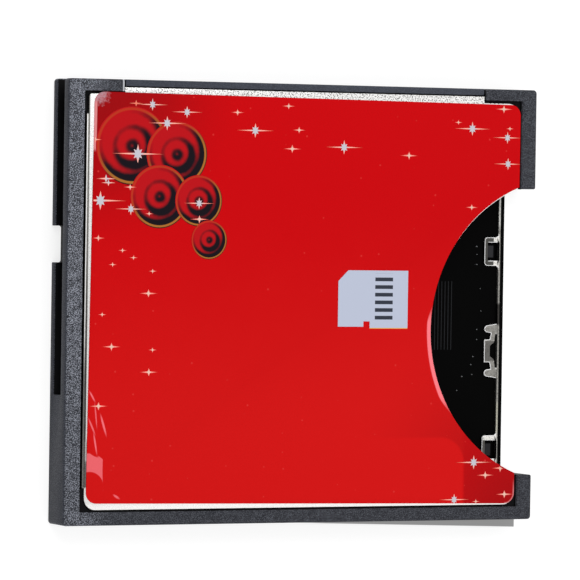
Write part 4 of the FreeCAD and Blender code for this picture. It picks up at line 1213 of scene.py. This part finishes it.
@dataclass
class SlotFloor:
    """The liner film and the lint that lies on it."""

    floor_mm: float = 0.4
    sunk: float = 0.2
    squash: Place = (1.0, 0.7, 0.45)
    specks: tuple[DustSpeck, ...] = (
        DustSpeck(17.3, 4.88, 0.18), DustSpeck(17.35, 4.2, 0.12), DustSpeck(17.33, 3.35, 0.16),
        DustSpeck(17.7, 1.3, 0.12), DustSpeck(17.8, -0.6, 0.12), DustSpeck(17.43, -2.18, 0.15),
        DustSpeck(17.44, -3.03, 0.14), DustSpeck(17.09, -4.48, 0.16), DustSpeck(16.91, -5.16, 0.16),
        DustSpeck(17.02, -6.01, 0.14), DustSpeck(16.07, -6.18, 0.16), DustSpeck(15.61, -7.37, 0.14),
    )

    def build(self) -> None:
        """Dresses the liner and lays the lint."""
        # Black polyester film, embossed with ribs
        dress_node("slot_liner", LinerFilm("liner_polyester_black", "#040404", 0.4).build())
        # Lint: grey, matt
        lint = CloudySolid("lint_grey", "#6E6F72", 0.8, second="#5C5D60", lump_mm=0.05).build()
        deselect_everything()
        grains = [self.lay_grain(speck, number) for number, speck in enumerate(self.specks, 1)]
        for grain in grains:
            grain.select_set(True)
        bpy.context.view_layer.objects.active = grains[0]
        bpy.ops.object.join()
        grains[0].name = "slot_lint"
        finish_piece(grains[0], lint, Slot.LINER, Shading.ROUNDED)

    def lay_grain(self, speck: DustSpeck, number: int) -> Piece:
        """Lays one flattened grain on the liner.

        Args:
            speck: where it lies and how wide it is.
            number: its place in the row.

        Returns:
            The grain.
        """
        level = self.floor_mm + speck.size * self.sunk
        bpy.ops.mesh.primitive_ico_sphere_add(
            subdivisions=1, radius=speck.size * MM / 2, location=metres(speck.x, speck.y, level)
        )
        grain = bpy.context.active_object
        grain.scale = self.squash
        grain.name = f"lint_{number}"
        bpy.ops.object.transform_apply(location=True, rotation=True, scale=True)
        return grain


@dataclass
class Electronics:
    """The board, its parts and the contacts."""

    card_contacts: int = 9

    def build(self) -> None:
        """Dresses the nodes that lie inside."""
        # Glass-epoxy board under green solder mask
        board = CloudySolid("glass_epoxy_green", "#1E5A34", 0.42, second="#256B3F", lump_mm=0.6)
        # Epoxy moulding compound: matt black
        chip = CloudySolid("epoxy_mould_black", "#1C1C1E", 0.6, second="#262629", lump_mm=0.12)
        # Tin-plated copper alloy: bright, a little soft
        tin = PlatedMetal("tin_plated_copper", "#C9CACB", 0.3)
        # Gold-flashed phosphor bronze: warm and shiny
        gold = PlatedMetal("gold_flashed_bronze", "#D2A64B", 0.25)
        # Stainless spring strip: grey and shiny
        spring = PlatedMetal("stainless_strip", "#BDBBB6", 0.28)
        # Drawn nickel silver can: a little warmer, the shiniest
        can = PlatedMetal("nickel_silver_can", "#C4C2B8", 0.22)
        # Fired ceramic: matt tan
        capacitor = CloudySolid("ceramic_tan", "#B08A5C", 0.5, second="#9C774C", lump_mm=0.15)
        # Thick-film resistor under black glaze: a soft shine
        resistor = CloudySolid("ceramic_black_glaze", "#1E1F22", 0.35, second="#2B2C30", lump_mm=0.15)
        # Liquid crystal polymer, moulded black: satin
        carrier = CloudySolid("moulded_lcp_black", "#18181A", 0.5, second="#222225", lump_mm=0.2)
        springs = tuple(f"card_contact_{number}" for number in range(1, self.card_contacts + 1))
        dressed = {
            board: ("circuit_board",),
            chip: ("controller_chip", "voltage_regulator"),
            tin: ("controller_leads", "regulator_leads"),
            gold: ("socket_contacts_upper", "socket_contacts_lower", *springs),
            spring: ("card_detect_spring", "write_protect_spring"),
            can: ("clock_crystal",),
            capacitor: ("board_capacitors",),
            resistor: ("board_resistors",),
            carrier: ("card_contact_carrier",),
        }
        for finish, nodes in dressed.items():
            material = finish.build()
            for node in nodes:
                dress_node(node, material)


@dataclass(frozen=True)
class Lamp:
    """A square soft lamp: its place and side in metres and its power in watts."""

    name: str
    place: Place
    side: float
    power: float

    def hang(self) -> None:
        """Hangs the lamp, turned towards the adapter."""
        data = bpy.data.lights.new(self.name, "AREA")
        data.shape = "SQUARE"
        data.size = self.side
        data.energy = self.power
        lamp = bpy.data.objects.new(self.name, data)
        lamp.location = self.place
        lamp.rotation_euler = (-Vector(self.place)).to_track_quat("-Z", "Y").to_euler()
        bpy.context.scene.collection.objects.link(lamp)


@dataclass
class Studio:
    """A pale floor, soft lamps and the camera at the photograph's angle."""

    yaw: float = 0.4321823
    pitch: float = 0.0171558
    roll: float = -0.0147692
    aside_mm: float = 0.59653
    up_mm: float = -1.0964
    distance_mm: float = 397.903
    middle_mm: float = 1.65
    lens_mm: float = 296.496
    sensor_mm: float = 36.0
    clip: Span = (0.01, 10.0)
    lamps: tuple[Lamp, ...] = (
        Lamp("key_lamp", (-0.12, 0.34, 0.44), 0.35, 1.2), Lamp("fill_lamp", (-0.2, -0.34, 0.4), 0.4, 0.7),
    )
    floor_m: float = 2.0
    floor_z: float = -0.02
    table: str = "#A8A8A8"
    table_shaded: str = "#606060"
    table_glow: float = 0.72
    glow: str = "#FFFFFF"
    shade: str = "#949494"
    shade_x: Span = (0.0, 21.5)
    shade_y: Span = (-18.42, -19.07)
    shade_top: Span = (-18.0, -18.1)
    tent: str = "#FFFFFF"
    tent_x: Span = (-0.14, 0.24)
    tent_glow: Span = (0.35, 1.0)

    def build(self) -> None:
        """Makes floor, world, lamps and camera."""
        self.lay_floor()
        self.light_world()
        for lamp in self.lamps:
            lamp.hang()
        self.place_camera()
        bpy.context.scene.view_settings.view_transform = "Standard"

    def lay_floor(self) -> None:
        """Lays a white paper table that glows softly and keeps the adapter's shadow."""
        deselect_everything()
        bpy.ops.mesh.primitive_plane_add(size=self.floor_m, location=metres(0.0, 0.0, self.floor_z))
        floor = bpy.context.active_object
        floor.name = "white_table"
        paint = Paint("white_table_paper")
        shaded = self.shade_share(paint)
        paint.surface("Base Color", paint.add(Node.MIX, shaded, self.table, self.table_shaded))
        paint.surface("Emission Color", paint.add(Node.MIX, shaded, self.glow, self.shade))
        paint.surface("Emission Strength", paint.add(Node.TIMES, self.looked_at(paint), self.table_glow))
        paint.surface("Roughness", 0.9)
        paint.surface("Specular IOR Level", 0.0)
        floor.data.materials.append(paint.material)

    def shade_share(self, paint: Paint) -> Socket:
        """The crisp shade along the lower edge, a wedge that widens to the right.

        Args:
            paint: the table's material.

        Returns:
            1 in the shade, 0 outside.
        """
        add = paint.add
        start, stop = self.shade_x
        slope = (self.shade_y[1] - self.shade_y[0]) / (stop - start)
        rise = add(Node.TIMES, add(Node.MINUS, paint.across, start * MM), slope)
        over = add(Node.MINUS, paint.along, add(Node.PLUS, rise, self.shade_y[0] * MM))
        below = add(Node.EASE, over, *metres(-0.03, 0.05))
        above = add(Node.EASE, paint.along, *metres(*self.shade_top))
        left = add(Node.EASE, paint.across, *metres(start - 0.5, start + 4.0))
        right = add(Node.EASE, paint.across, *step_at(stop, -0.04))
        return add(Node.TIMES, add(Node.TIMES, below, above), add(Node.TIMES, left, right))

    def looked_at(self, paint: Paint) -> Socket:
        """Tells the rays that show a surface from those that only light another.

        Args:
            paint: the table's material.

        Returns:
            1 for what the camera sees directly, mirrored or through glass, 0 for light that spreads.
        """
        straight = paint.add(Node.RAYS)
        rays = straight.node.outputs
        mirrored = paint.add(Node.HIGHEST, straight, rays["Is Glossy Ray"])
        return paint.add(Node.HIGHEST, mirrored, rays["Is Transmission Ray"])

    def light_world(self) -> None:
        """Puts up a white tent that is dimmer on the camera's side."""
        world = bpy.data.worlds.new("studio_world")
        bpy.context.scene.world = world
        world.use_nodes = True
        wiring = Wiring(world.node_tree)
        sky = world.node_tree.nodes["Background"]
        beside = wiring.add(Node.SPLIT, wiring.add(Node.DIRECTION))
        wiring.put(sky.inputs["Color"], self.tent)
        wiring.put(sky.inputs["Strength"], wiring.add(Node.EASE, beside, *self.tent_x, *self.tent_glow))

    def place_camera(self) -> None:
        """Stands the camera where the photograph was taken from."""
        turn = (
            Matrix.Rotation(self.roll, 3, "Z") @ Matrix.Rotation(self.pitch, 3, "X") @ Matrix.Rotation(self.yaw, 3, "Y")
        ).transposed()
        away = turn @ Vector((-self.aside_mm, -self.up_mm, self.distance_mm)) * MM
        centre = Vector((0.0, 0.0, self.middle_mm * MM)) + away
        data = bpy.data.cameras.new("camera")
        data.lens = self.lens_mm
        data.sensor_width = self.sensor_mm
        data.clip_start, data.clip_end = self.clip
        camera = bpy.data.objects.new("camera", data)
        camera.matrix_world = Matrix.Translation(centre) @ turn.to_4x4()
        bpy.context.scene.collection.objects.link(camera)
        bpy.context.scene.camera = camera


def main() -> None:
    """Builds the scene in order."""
    logging.basicConfig(level=logging.INFO, format="%(message)s")
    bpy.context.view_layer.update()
    deselect_everything()
    for part in (MouldedBody(), SteelCovers(), PrintedFront(), SlotFloor(), Electronics(), Studio()):
        part.build()
        LOG.info("%s is built", type(part).__name__)


if __name__ == "__main__":
    main()
